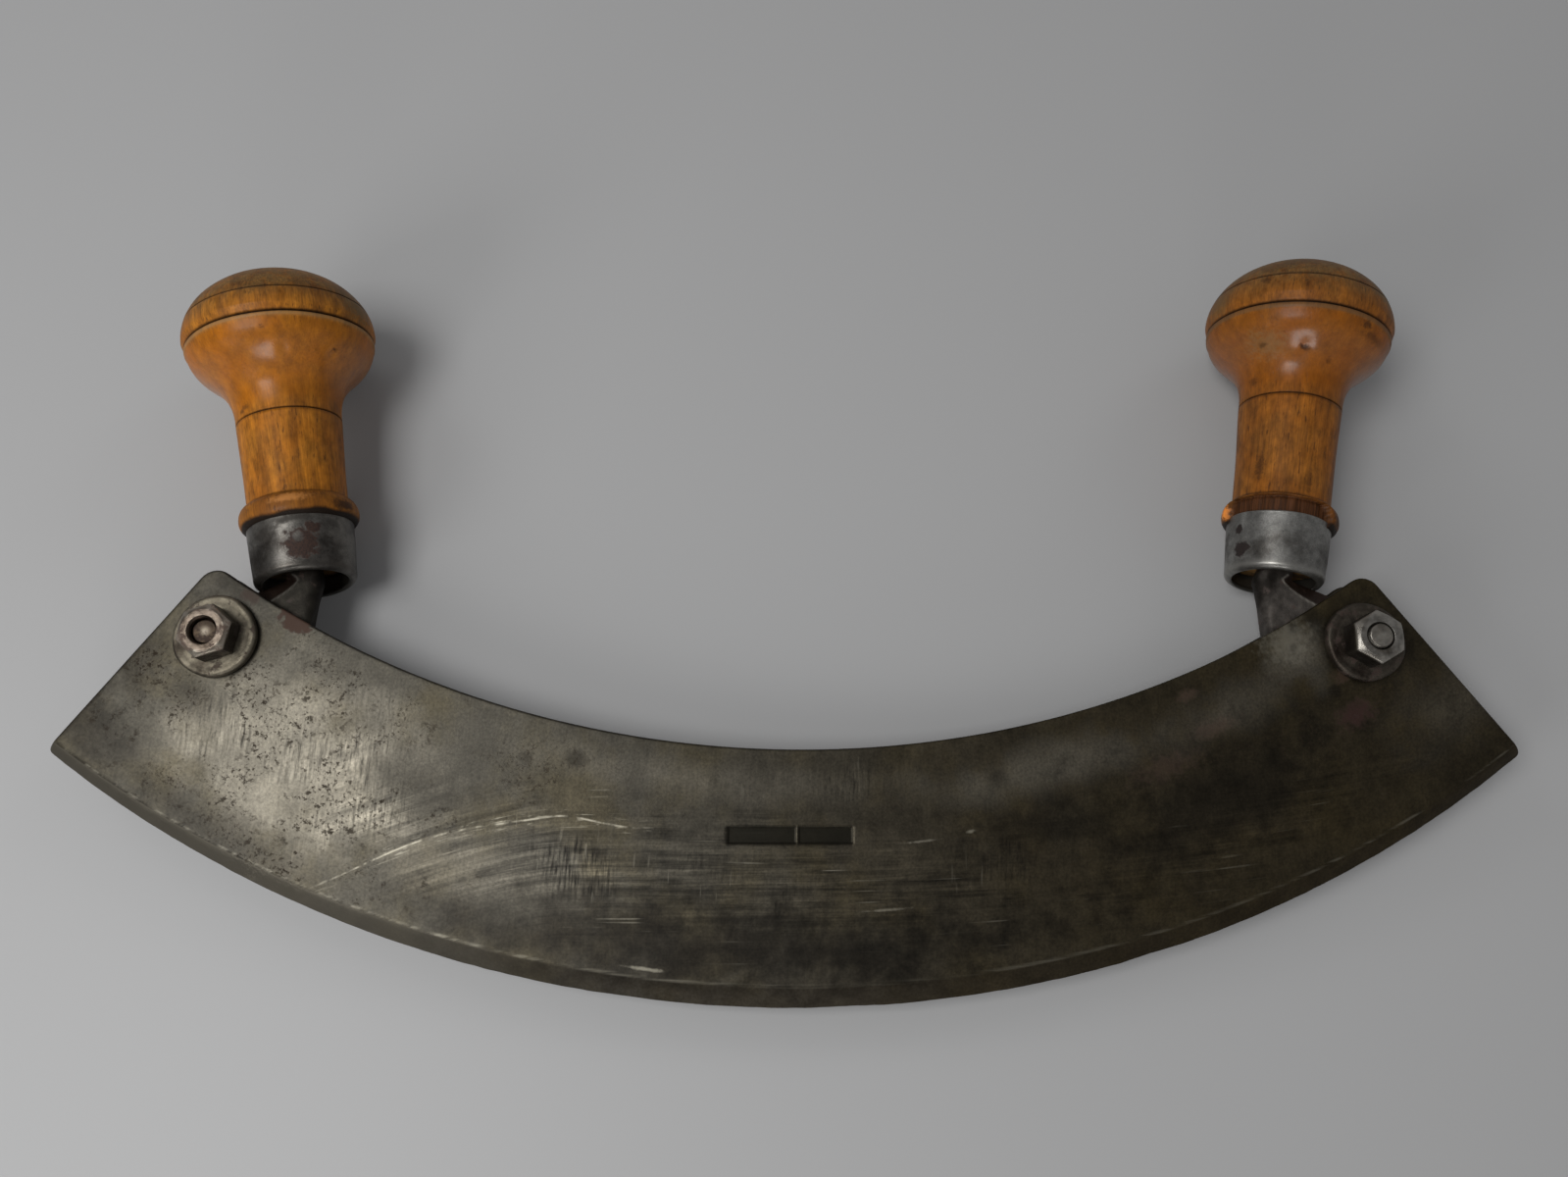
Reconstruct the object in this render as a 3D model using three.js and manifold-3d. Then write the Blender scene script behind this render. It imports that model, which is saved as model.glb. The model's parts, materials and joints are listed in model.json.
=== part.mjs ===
// Double mezzaluna: two crescent blades side by side, bolted at each end round the foot of a forged tang
// that carries a steel ferrule and a turned wooden handle. Millimetres.
// The tool is drawn in its blade plane: x along the chord, y from the cutting edge to the handles, z out of
// the front blade, with z = 0 halfway between the blades. It is then laid on a table as it rests, +Z up.
import * as THREE from 'three';
import { mergeVertices } from 'three/addons/utils/BufferGeometryUtils.js';
import Module from 'manifold-3d';

const wasm = await Module();
wasm.setup();

const degrees = Math.PI / 180;
const sides = { left: -1, right: 1 };

// Crescent blades
const bladeSpan = 372.6;           // tip to tip, before the tips are rounded
const bladeHeight = 62.3;          // cutting edge to spine, in the middle
const bladeThickness = 2.2;
const spineRadius = 262;
const edgeRadius = 312;
const endSlant = 37.2 * degrees;   // from the chord to the outward normal of a blade end
const cornerRounding = 5;
const tipRounding = 2;
const bevelWidth = 4.5;            // ground bevel along the cutting edge, on the outer face
const edgeThickness = 0.4;

// Bolt through both blades at each end
const boltEndInset = 14;           // bolt centre to the blade end
const boltSpineInset = 14.5;       // bolt centre to the spine
const boltRadius = 3.175;
const boltHoleClearance = 0.3;
const boltEndChamfer = 0.6;
const boltEndProud = { left: -1.8, right: 0.4 };  // bolt end above the nut's face
const hexAcrossFlats = 12.2;
const hexFaceRadius = 5.5;         // flat round face left by the chamfer
const hexChamferDepth = 1;
const nutHeight = 7;
const boltHeadHeight = 5;
const nutTurn = { left: -12 * degrees, right: 0 };
const washerRadius = 10.35;
const washerThickness = 2.5;
const washerChamfer = 0.4;
const seatGap = 0.3;               // between pieces that sit on each other

// Forged tang: a flat foot between the blades and a square shank up into the wood
const tangThickness = 7;
const innerChamfer = 2;            // along the tang's inner side, on both faces
const footEyeRadius = 10.5;
const footInnerReach = 0.9;        // handle axis to the foot's inner side
const footInnerRounding = 9;
const neckInnerReach = 5.4;        // handle axis to the tang's inner side at the ferrule mouth
const neckOuterReach = 3.2;        // handle axis to the tang's outer side at the ferrule mouth
const hollowRadius = 5.4;          // round hollow between shank and foot, on the outer side
const hollowChamfer = 2.4;         // broad chamfer round that hollow, on both faces
const hollowDrop = 0.5;            // bottom of the hollow below the ferrule mouth
const shankWidth = 7;
const shankTipWidth = 4;
const shankLength = 50;            // beyond the ferrule mouth

// Steel ferrule, open at the mouth, with its lip rolled in
const handleSplay = 10.6 * degrees;
const handleOffset = { left: 21.5, right: 22.5 }; // bolt centre to the handle axis, square to that axis
const mouthRise = { left: 10.8, right: 12.4 };    // bolt centre to the ferrule mouth, along the handle axis
const ferruleLength = 15.3;
const ferruleTopRadius = 13.45;
const ferruleMouthRadius = 12.6;
const ferruleWall = 1.2;
const ferruleLipRadius = 2.5;

// Turned handle, from its tenon in the ferrule to its crown
const tenonDepth = 10;             // how far the tenon reaches down into the ferrule
const collarRadius = 15;
const collarUnderHeight = 2.9;     // ferrule to the widest part of the collar
const collarTopHeight = 4.5;       // widest part to the neck
const neckRadius = 12.6;
const neckTopRadius = 13.4;
const neckLength = { left: 22.1, right: 27.8 };   // the two handles were turned by hand and differ
const flareHeight = 21.3;
const flareNeckHold = 14.7;        // how far the flare keeps the line of the neck
const flareRimHold = 10.6;         // how far it keeps the line of the rim
const rimRadius = 24.3;
const knobRadius = 24.8;
const knobBandHeight = 2.9;        // rim to the widest part of the knob
const crownHeight = 18.5;          // widest part to the top
const crownGrooveRise = 5.7;       // widest part to the groove round the crown
const neckGroove = { width: 0.8, depth: 0.45 };
const rimGroove = { width: 1.2, depth: 0.9 };
const crownGroove = { width: 0.7, depth: 0.4 };

const cutMargin = 2;               // how far a cutting form reaches past what it cuts

// Fineness of round forms
const turnedSides = 32;
const boreSides = 24;
const bladeArcSteps = 72;
const grindSides = 360;
const curveSteps = 6;
const flareSteps = 12;
const crownSteps = 10;

// Places that follow from the sizes
const boltHoleRadius = boltRadius + boltHoleClearance;
const innerFace = tangThickness / 2 + seatGap;
const outerFace = innerFace + bladeThickness;
const washerSeat = outerFace + seatGap;
const nutSeat = washerSeat + washerThickness + seatGap;
const spineCentre = bladeHeight + spineRadius;
const tipAngle = Math.asin(bladeSpan / 2 / edgeRadius);
const tip = new THREE.Vector2(bladeSpan / 2, edgeRadius * (1 - Math.cos(tipAngle)));
const endNormal = new THREE.Vector2(Math.cos(endSlant), Math.sin(endSlant));
const endRise = new THREE.Vector2(-Math.sin(endSlant), Math.cos(endSlant));

const steel = (color, roughness) => new THREE.MeshStandardMaterial({ color, roughness, metalness: 0.9 });
const varnishedWood = () => new THREE.MeshStandardMaterial({ color: 0xa9661f, roughness: 0.35, metalness: 0 });

// A closed geometry as a solid: shared corners are merged and collapsed triangles dropped
function solidOf(geometry) {
  const bare = geometry.clone();
  bare.deleteAttribute('normal');
  bare.deleteAttribute('uv');
  const merged = mergeVertices(bare);
  const corners = merged.index.array;
  const kept = [];
  for (let i = 0; i < corners.length; i += 3) {
    const [a, b, c] = corners.slice(i, i + 3);
    if (a !== b && b !== c && c !== a) kept.push(a, b, c);
  }
  const surface = new wasm.Mesh({
    numProp: 3,
    vertProperties: merged.attributes.position.array,
    triVerts: new Uint32Array(kept),
  });
  return new wasm.Manifold(surface);
}

function geometryOf(solid) {
  const surface = solid.getMesh();
  const geometry = new THREE.BufferGeometry();
  geometry.setAttribute('position', new THREE.BufferAttribute(surface.vertProperties, 3));
  geometry.setIndex(new THREE.BufferAttribute(surface.triVerts, 1));
  geometry.computeVertexNormals();
  return geometry;
}

// A profile of [radius, height] points turned about the y axis
function turned(profile, segments = turnedSides) {
  const points = profile.map(([radius, height]) => new THREE.Vector2(radius, height));
  return new THREE.LatheGeometry(points, segments);
}

// The same about the z axis, for what sits on a bolt
function turnedOnBolt(profile, segments = boreSides) {
  return turned(profile, segments).rotateX(Math.PI / 2);
}

// A closed ring: its profile runs up the outside and comes back down the bore
function ringOnBolt(outside, bore, segments) {
  const bottom = outside[0][1];
  const top = outside[outside.length - 1][1];
  return turnedOnBolt([[bore, bottom], ...outside, [bore, top], [bore, bottom]], segments);
}

function hexPrism(height) {
  const corner = hexAcrossFlats / Math.sqrt(3);
  return new THREE.CylinderGeometry(corner, corner, height, 6).rotateX(Math.PI / 2).translate(0, 0, height / 2);
}

// Profile points along an arc of an ellipse, from one angle to another
function arcPoints(centre, radii, from, to, steps) {
  const clockwise = to < from;
  const arc = new THREE.EllipseCurve(centre[0], centre[1], radii[0], radii[1], from, to, clockwise);
  return arc.getPoints(steps).map((point) => [point.x, point.y]);
}

function mesh(name, geometry, material) {
  const piece = new THREE.Mesh(geometry, material);
  piece.name = name;
  return piece;
}

// Where the blade end, moved in by an inset, crosses a circle about the centre of the spine's arc
function onBladeEnd(inset, radius) {
  const start = tip.clone().addScaledVector(endNormal, -inset);
  const away = start.clone().sub(new THREE.Vector2(0, spineCentre));
  const along = away.dot(endRise);
  const reach = -along - Math.sqrt(along * along - away.lengthSq() + radius * radius);
  return start.addScaledVector(endRise, reach);
}

// Half of the crescent from the middle of the cutting edge, round the right end, to the middle of the spine
function crescentHalf() {
  const down = -Math.PI / 2;
  const corner = onBladeEnd(0, spineRadius);
  const cornerAngle = Math.asin(corner.x / spineRadius);
  const edgeEnd = down + tipAngle - tipRounding / edgeRadius;
  const spineEnd = down + cornerAngle - cornerRounding / spineRadius;
  const cuttingArc = new THREE.EllipseCurve(0, edgeRadius, edgeRadius, edgeRadius, down, edgeEnd);
  const spineArc = new THREE.EllipseCurve(0, spineCentre, spineRadius, spineRadius, spineEnd, down, true);
  const roundedTip = new THREE.QuadraticBezierCurve(
    cuttingArc.getPoint(1),
    tip,
    tip.clone().addScaledVector(endRise, tipRounding),
  );
  const roundedCorner = new THREE.QuadraticBezierCurve(
    corner.clone().addScaledVector(endRise, -cornerRounding),
    corner,
    spineArc.getPoint(0),
  );
  return [
    ...cuttingArc.getPoints(bladeArcSteps / 2),
    ...roundedTip.getPoints(curveSteps).slice(1),
    ...roundedCorner.getPoints(curveSteps),
    ...spineArc.getPoints(bladeArcSteps / 2).slice(1),
  ];
}

// The ground bevel as the ring it removes: a cone about the axis of the cutting arc
function bevelCutter() {
  const fall = (bladeThickness - edgeThickness) / bevelWidth;
  const inner = edgeRadius - bevelWidth - cutMargin;
  const outer = edgeRadius + cutMargin;
  const innerTop = bladeThickness + cutMargin * fall;
  const outerTop = edgeThickness - cutMargin * fall;
  const above = innerTop + cutMargin;
  const profile = [[outer, outerTop], [outer, above], [inner, above], [inner, innerTop]];
  return turnedOnBolt([...profile, profile[0]], grindSides).translate(0, edgeRadius, 0);
}

// A blade with its inner face at z = 0 and its ground face up
function bladeGeometry() {
  const half = crescentHalf();
  const mirrored = half.slice(1, -1).reverse().map((point) => new THREE.Vector2(-point.x, point.y));
  const outline = new THREE.Shape([...half, ...mirrored]);
  const bolt = onBladeEnd(boltEndInset, spineRadius + boltSpineInset);
  for (const side of Object.values(sides)) {
    outline.holes.push(new THREE.Path().absarc(side * bolt.x, bolt.y, boltHoleRadius, 0, 2 * Math.PI));
  }
  const plate = new THREE.ExtrudeGeometry(outline, {
    depth: bladeThickness,
    bevelEnabled: false,
    curveSegments: boreSides / 2,
  });
  return geometryOf(solidOf(plate).subtract(solidOf(bevelCutter())));
}

function washerGeometry() {
  const outside = [
    [washerRadius, 0],
    [washerRadius, washerThickness - washerChamfer],
    [washerRadius - washerChamfer, washerThickness],
  ];
  return ringOnBolt(outside, boltHoleRadius, turnedSides);
}

// Outer limit of a hexagon whose corners are chamfered towards its face
function chamferOutside(height) {
  const corner = hexAcrossFlats / Math.sqrt(3);
  const slope = hexChamferDepth / (corner - hexFaceRadius);
  return [
    [corner + cutMargin, -cutMargin],
    [corner + cutMargin, height - hexChamferDepth - cutMargin * slope],
    [hexFaceRadius, height],
  ];
}

function nutGeometry() {
  const outside = solidOf(ringOnBolt(chamferOutside(nutHeight), boltHoleRadius));
  return geometryOf(solidOf(hexPrism(nutHeight)).intersect(outside));
}

// A bolt with the underside of its head at z = 0, its shank up and its head below
function boltGeometry(length) {
  const cone = [[0, -cutMargin], ...chamferOutside(boltHeadHeight), [0, boltHeadHeight]];
  const head = solidOf(hexPrism(boltHeadHeight)).intersect(solidOf(turnedOnBolt(cone)));
  const shank = turnedOnBolt([
    [0, -boltHeadHeight / 2],
    [boltRadius, -boltHeadHeight / 2],
    [boltRadius, length - boltEndChamfer],
    [boltRadius - boltEndChamfer, length],
    [0, length],
  ]);
  return geometryOf(head.rotate([180, 0, 0]).add(solidOf(shank)));
}

// Outline of the tang's flat part, drawn for the right side: bolt centre at 0, handle axis up
function tangOutline(offset, rise) {
  const axis = -offset;
  const innerTop = new THREE.Vector2(axis - neckInnerReach, rise);
  const innerFoot = new THREE.Vector2(axis - footInnerReach, -footEyeRadius + footInnerRounding);
  const hollow = new THREE.Vector2(axis + neckOuterReach + hollowRadius, rise - hollowDrop + hollowRadius);
  const outline = new THREE.Shape();
  outline.moveTo(innerTop.x, innerTop.y);
  outline.lineTo(innerFoot.x, innerFoot.y);
  outline.quadraticCurveTo(innerFoot.x, -footEyeRadius, innerFoot.x + footInnerRounding, -footEyeRadius);
  outline.lineTo(0, -footEyeRadius);
  outline.absarc(0, 0, footEyeRadius, -Math.PI / 2, Math.PI / 4);
  outline.lineTo(hollow.x, hollow.y - hollowRadius);
  outline.absarc(hollow.x, hollow.y, hollowRadius, -Math.PI / 2, -Math.PI, true);
  outline.closePath();
  outline.holes.push(new THREE.Path().absarc(0, 0, boltHoleRadius, 0, 2 * Math.PI));
  return { outline, hollow, innerTop, innerFoot };
}

// What the chamfer removes along the tang's inner side: a square bar on edge
function innerChamferCutter(innerTop, innerFoot, face) {
  const side = innerTop.clone().sub(innerFoot);
  const middle = innerTop.clone().add(innerFoot).multiplyScalar(0.5);
  const width = innerChamfer * Math.SQRT2;
  const bar = new THREE.BoxGeometry(width, 2 * side.length(), width);
  bar.rotateY(Math.PI / 4);
  bar.rotateZ(side.angle() - Math.PI / 2);
  return bar.translate(middle.x, middle.y, face * tangThickness / 2);
}

function hollowChamferCutter(hollow, face) {
  const wide = hollowRadius + 2 * hollowChamfer;
  const cone = new THREE.CylinderGeometry(wide, hollowRadius, 2 * hollowChamfer, boreSides);
  cone.rotateX(face * Math.PI / 2);
  return cone.translate(hollow.x, hollow.y, face * tangThickness / 2);
}

function tangGeometry(side, offset, rise) {
  const { outline, hollow, innerTop, innerFoot } = tangOutline(offset, rise);
  const plate = new THREE.ExtrudeGeometry(outline, {
    depth: tangThickness,
    bevelEnabled: false,
    curveSegments: boreSides / 2,
  });
  plate.translate(0, 0, -tangThickness / 2);
  let tang = solidOf(plate);
  for (const face of [-1, 1]) {
    tang = tang.subtract(solidOf(innerChamferCutter(innerTop, innerFoot, face)));
    tang = tang.subtract(solidOf(hollowChamferCutter(hollow, face)));
  }
  const root = rise - shankWidth;
  const length = rise + shankLength - root;
  const shank = new THREE.CylinderGeometry(shankTipWidth / Math.SQRT2, shankWidth / Math.SQRT2, length, 4);
  shank.rotateY(Math.PI / 4);
  shank.translate(-offset, root + length / 2, 0);
  tang = tang.add(solidOf(shank));
  return geometryOf(side > 0 ? tang : tang.rotate([0, 180, 0]));
}

// Ferrule about the y axis, mouth at y = 0
function ferruleGeometry() {
  const lipCentre = [ferruleMouthRadius - ferruleLipRadius, ferruleLipRadius];
  const innerLip = ferruleLipRadius - ferruleWall;
  const outside = arcPoints(lipCentre, [ferruleLipRadius, ferruleLipRadius], -Math.PI / 2, 0, curveSteps);
  const inside = arcPoints(lipCentre, [innerLip, innerLip], 0, -Math.PI / 2, curveSteps / 2);
  const top = [[ferruleTopRadius, ferruleLength], [ferruleTopRadius - ferruleWall, ferruleLength]];
  return turned([...outside, ...top, ...inside, outside[0]]);
}

// A turned V groove centred on a point of the profile
function grooveAt(radius, height, { width, depth }) {
  return [[radius, height - width / 2], [radius - depth, height], [radius, height + width / 2]];
}

// Radius inside the ferrule at a height above its mouth
function ferruleBore(height) {
  const share = (height - ferruleLipRadius) / (ferruleLength - ferruleLipRadius);
  return ferruleMouthRadius + share * (ferruleTopRadius - ferruleMouthRadius) - ferruleWall;
}

// Handle about the y axis, with y = 0 at the ferrule mouth, bored for the shank
function handleGeometry(neck) {
  const tenonEnd = ferruleLength - tenonDepth;
  const shoulder = ferruleLength + seatGap;
  const collar = [neckRadius, shoulder + collarUnderHeight];
  const collarBulge = collarRadius - neckRadius;
  const neckEnd = shoulder + collarUnderHeight + collarTopHeight + neck;
  const rim = neckEnd + flareHeight;
  const widest = rim + knobBandHeight;
  const crownShare = crownGrooveRise / crownHeight;
  const crownAngle = Math.asin(crownShare);
  const grooveTurn = crownGroove.width / 2 / crownHeight;
  const crown = [knobRadius, crownHeight];
  const crownRadius = knobRadius * Math.cos(crownAngle);
  const flare = new THREE.CubicBezierCurve(
    new THREE.Vector2(neckTopRadius, neckEnd + neckGroove.width / 2),
    new THREE.Vector2(neckTopRadius, neckEnd + flareNeckHold),
    new THREE.Vector2(rimRadius, rim - flareRimHold),
    new THREE.Vector2(rimRadius, rim - rimGroove.width / 2),
  );
  const profile = [
    [0, tenonEnd],
    [ferruleBore(tenonEnd) - seatGap, tenonEnd],
    [ferruleBore(ferruleLength) - seatGap, shoulder],
    ...arcPoints(collar, [collarBulge, collarUnderHeight], -Math.PI / 2, 0, curveSteps / 2),
    ...arcPoints(collar, [collarBulge, collarTopHeight], 0, Math.PI / 2, curveSteps).slice(1),
    ...grooveAt(neckTopRadius, neckEnd, neckGroove),
    ...flare.getPoints(flareSteps).slice(1, -1).map((point) => [point.x, point.y]),
    ...grooveAt(rimRadius, rim, rimGroove),
    ...arcPoints([0, widest], crown, 0, crownAngle - grooveTurn, curveSteps / 2),
    [crownRadius - crownGroove.depth, widest + crownGrooveRise],
    ...arcPoints([0, widest], crown, crownAngle + grooveTurn, Math.PI / 2, crownSteps),
  ];
  profile[profile.length - 1][0] = 0;
  const boreWidth = (shankWidth + 2 * seatGap) / Math.SQRT2;
  const boreTipWidth = (shankTipWidth + 2 * seatGap) / Math.SQRT2;
  const boreLength = shankLength + seatGap + shankWidth;
  const bore = new THREE.CylinderGeometry(boreTipWidth, boreWidth, boreLength, 4);
  bore.rotateY(Math.PI / 4);
  bore.translate(0, shankLength + seatGap - boreLength / 2, 0);
  return geometryOf(solidOf(turned(profile)).subtract(solidOf(bore)));
}

function addBlades(tool) {
  const geometry = bladeGeometry();
  const front = mesh('front_blade', geometry, steel(0x55524a, 0.45));
  const rear = mesh('rear_blade', geometry.clone(), steel(0x4f4c45, 0.45));
  front.position.z = innerFace;
  rear.position.z = -innerFace;
  rear.rotation.y = Math.PI;
  tool.add(front, rear);
}

// Bolt, washers and nut at one end, head behind the rear blade and nut in front
function addFastening(tool, name, bolt) {
  const nutFace = nutSeat + nutHeight;
  const frontWasher = mesh(`${name}_front_washer`, washerGeometry(), steel(0x6b655a, 0.55));
  const rearWasher = mesh(`${name}_rear_washer`, washerGeometry(), steel(0x6b655a, 0.55));
  const nut = mesh(`${name}_nut`, nutGeometry(), steel(0x77706a, 0.5));
  const boltLength = nutSeat + nutFace + boltEndProud[name];
  const through = mesh(`${name}_bolt`, boltGeometry(boltLength), steel(0x6e6a63, 0.5));
  frontWasher.position.z = washerSeat;
  rearWasher.position.z = -washerSeat;
  rearWasher.rotation.x = Math.PI;
  nut.position.z = nutSeat;
  nut.rotation.z = nutTurn[name];
  through.position.z = -nutSeat;
  const stack = new THREE.Group();
  stack.position.set(bolt.x, bolt.y, 0);
  stack.add(frontWasher, rearWasher, nut, through);
  tool.add(stack);
}

// Tang, ferrule and wood of one handle, turned outward about its bolt
function addHandle(tool, name, side, bolt) {
  const rise = mouthRise[name];
  const offset = handleOffset[name];
  const tang = mesh(`${name}_tang`, tangGeometry(side, offset, rise), steel(0x4a4742, 0.6));
  const ferrule = mesh(`${name}_ferrule`, ferruleGeometry(), steel(0x7d7d7b, 0.35));
  const wood = mesh(`${name}_handle`, handleGeometry(neckLength[name]), varnishedWood());
  ferrule.position.set(-side * offset, rise, 0);
  wood.position.copy(ferrule.position);
  const arm = new THREE.Group();
  arm.position.set(bolt.x, bolt.y, 0);
  arm.rotation.z = -side * handleSplay;
  arm.add(tang, ferrule, wood);
  tool.add(arm);
}

// Lowest point of a mesh against a direction that counts as up
function lowestPoint(piece, up) {
  const corners = piece.geometry.attributes.position;
  const lowest = new THREE.Vector3();
  const corner = new THREE.Vector3();
  let least = Infinity;
  for (let i = 0; i < corners.count; i += 1) {
    corner.fromBufferAttribute(corners, i).applyMatrix4(piece.matrixWorld);
    const height = corner.dot(up);
    if (height < least) {
      least = height;
      lowest.copy(corner);
    }
  }
  return lowest;
}

// Up direction of the table that the tool lies on: it touches both knobs and the rear cutting edge
function tableNormal(tool) {
  const feet = ['left_handle', 'right_handle', 'rear_blade'].map((name) => tool.getObjectByName(name));
  const settlingRounds = 12;
  const up = new THREE.Vector3(0, 0, 1);
  for (let round = 0; round < settlingRounds; round += 1) {
    const [left, right, edge] = feet.map((foot) => lowestPoint(foot, up));
    up.crossVectors(left.sub(edge), right.sub(edge)).normalize();
    if (up.z < 0) up.negate();
  }
  return up;
}

const tool = new THREE.Group();
addBlades(tool);
for (const [name, side] of Object.entries(sides)) {
  const bolt = onBladeEnd(boltEndInset, spineRadius + boltSpineInset);
  bolt.x *= side;
  addFastening(tool, name, bolt);
  addHandle(tool, name, side, bolt);
}

tool.updateMatrixWorld(true);
tool.quaternion.setFromUnitVectors(tableNormal(tool), new THREE.Vector3(0, 0, 1));
const laid = new THREE.Box3().setFromObject(tool, true);
const middle = laid.getCenter(new THREE.Vector3());
tool.position.set(-middle.x, -middle.y, -laid.min.z);

const mezzaluna = new THREE.Group();
mezzaluna.add(tool);

export default mezzaluna;
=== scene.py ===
import json
import bmesh
import bpy
import numpy as np
from mathutils import Matrix


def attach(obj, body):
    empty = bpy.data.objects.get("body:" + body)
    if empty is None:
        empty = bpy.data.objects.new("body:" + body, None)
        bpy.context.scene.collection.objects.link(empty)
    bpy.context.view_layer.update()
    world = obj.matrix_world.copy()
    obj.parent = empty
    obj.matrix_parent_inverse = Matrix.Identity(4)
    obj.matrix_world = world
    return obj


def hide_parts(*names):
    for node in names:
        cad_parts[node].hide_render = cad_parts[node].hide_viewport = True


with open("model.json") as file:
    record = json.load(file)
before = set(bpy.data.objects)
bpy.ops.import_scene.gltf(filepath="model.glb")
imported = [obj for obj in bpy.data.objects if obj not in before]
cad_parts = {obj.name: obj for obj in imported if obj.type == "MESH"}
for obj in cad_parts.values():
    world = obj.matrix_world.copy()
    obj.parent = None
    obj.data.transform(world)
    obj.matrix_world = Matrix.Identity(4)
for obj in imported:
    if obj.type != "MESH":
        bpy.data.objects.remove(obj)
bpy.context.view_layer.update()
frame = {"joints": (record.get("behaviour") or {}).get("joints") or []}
print("frame loaded")

# the tool's own frame in mm: x along the chord, y from the edges to the handles, z out of the front blade
mm = 0.001
tool = {
    "boltRise": 90.189,  # bolts above the lowest point of the cutting edge
    "boltReach": 147.12,  # bolts from the middle
    "boltHole": 3.475,  # radius of the hole in blades, tangs and nuts
    "splay": np.radians(10.6),  # lean of each handle away from the middle
    "innerFace": 3.8, "outerFace": 6.0,  # blade faces from the middle plane
    "washerSeat": 6.3, "nutSeat": 9.1,
    "offset": {"left": 21.5, "right": 22.5},  # bolt to handle axis
    "rise": {"left": 10.8, "right": 12.4},  # bolt to the origin of the handle
}
sides = {"left": -1, "right": 1}
hinges = {joint["name"]: joint for joint in frame["joints"]}
leftBolt = np.array(hinges["left_handle_pivot"]["pos_m"]) / mm
rightBolt = np.array(hinges["right_handle_pivot"]["pos_m"]) / mm
outOfBlade = np.array(hinges["left_handle_pivot"]["axis"])
alongChord = (rightBolt - leftBolt) / np.linalg.norm(rightBolt - leftBolt)
upTool = np.cross(outOfBlade, alongChord)
toolAxes = np.stack([alongChord, upTool, outOfBlade])
toolOrigin = (leftBolt + rightBolt) / 2 - tool["boltRise"] * upTool


def toFrame(points):  # tool mm to frame metres: origin + x chord + y up + z out
    return (toolOrigin + points @ toolAxes) * mm


def armToTool(points, name):  # arm mm, origin at the bolt and y along the handle, turned out by the splay
    side = sides[name]
    lean = -side * tool["splay"]
    x, y, z = np.moveaxis(points, -1, 0)
    return np.stack([side * tool["boltReach"] + x * np.cos(lean) - y * np.sin(lean),
                     tool["boltRise"] + x * np.sin(lean) + y * np.cos(lean), z], -1)


def handleToTool(points, name):  # handle mm, origin on its axis at the solid ferrule's mouth
    return armToTool(points + np.array([-sides[name] * tool["offset"][name], tool["rise"][name], 0.0]), name)


def lerp(a, b, t):  # a + (b - a) * t
    return a + (b - a) * t


def ease(low, high, x):  # smooth step, 3t^2 - 2t^3 between low and high
    t = np.clip((x - low) / (high - low), 0, 1)
    return t * t * (3 - 2 * t)


def hump(x, centre, half):  # bell curve of height 1
    return np.exp(-((x - centre) / half) ** 2)


def waver(x, y, seed, reach):  # sum of 7 sines of fixed random direction, phase and fineness, about -1 to 1
    dice = np.random.default_rng(seed)
    waves, whole = 7, 6.283  # whole is about 2 pi
    turns, phases, finenesses = (dice.uniform(*span, waves) for span in ((0, whole), (0, whole), (0.6, 2.2)))
    total = 0
    for turn, phase, fine in zip(turns, phases, finenesses):
        total = total + np.sin((np.cos(turn) * x + np.sin(turn) * y) * whole * fine / reach + phase) / fine
    return total / np.sqrt(waves)


def runs(spans):  # runs of evenly spaced numbers, each from start to end in a count
    return np.concatenate([np.linspace(*span) for span in spans])


def around(count):  # one row of angles, once round
    return np.linspace(0, 2 * np.pi, count, endpoint=False)[None, :]


def arcOf(centre, radii, start, end, count):  # ellipse arc: centre + radii * (cos, sin)
    turn = np.radians(np.linspace(start, end, count))
    return np.stack([centre[0] + radii[0] * np.cos(turn), centre[1] + radii[1] * np.sin(turn)], 1)


def lineOf(start, end, count):  # start + (end - start) * t
    return lerp(np.array(start, float), np.array(end, float), np.linspace(0, 1, count)[:, None])


def bezierOf(p0, p1, p2, p3, count):  # cubic curve by Bernstein weights
    t = np.linspace(0, 1, count)[:, None]
    p0, p1, p2, p3 = (np.array(p, float) for p in (p0, p1, p2, p3))
    return (1 - t) ** 3 * p0 + 3 * t * (1 - t) ** 2 * p1 + 3 * t * t * (1 - t) * p2 + t ** 3 * p3


def rounded(depth, radius):  # how far a quarter circle stands in from the corner at a depth
    inside = np.clip(radius - depth, 0, radius)
    return radius - np.sqrt(radius ** 2 - inside ** 2)


def turnedPoints(r, h, turn):  # radius and height turned about y, angle 0 at +z
    return np.dstack([r * np.sin(turn), h, r * np.cos(turn)])


def boltPoints(r, turn, z, centre=(0, 0)):  # radius and angle about a bolt, z along it
    return np.dstack([centre[0] + r * np.cos(turn), centre[1] + r * np.sin(turn), z])


def boltCentre(side):
    return side * tool["boltReach"], tool["boltRise"]


def addObject(name, data):
    made = bpy.data.objects.new(name, data)
    bpy.context.scene.collection.objects.link(made)
    return made


def quadsOf(index):  # quads between neighbours on a grid of vertex numbers
    corners = index[:-1, :-1], index[:-1, 1:], index[1:, 1:], index[1:, :-1]
    return np.stack(corners, -1).reshape(-1, 4).tolist()


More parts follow.
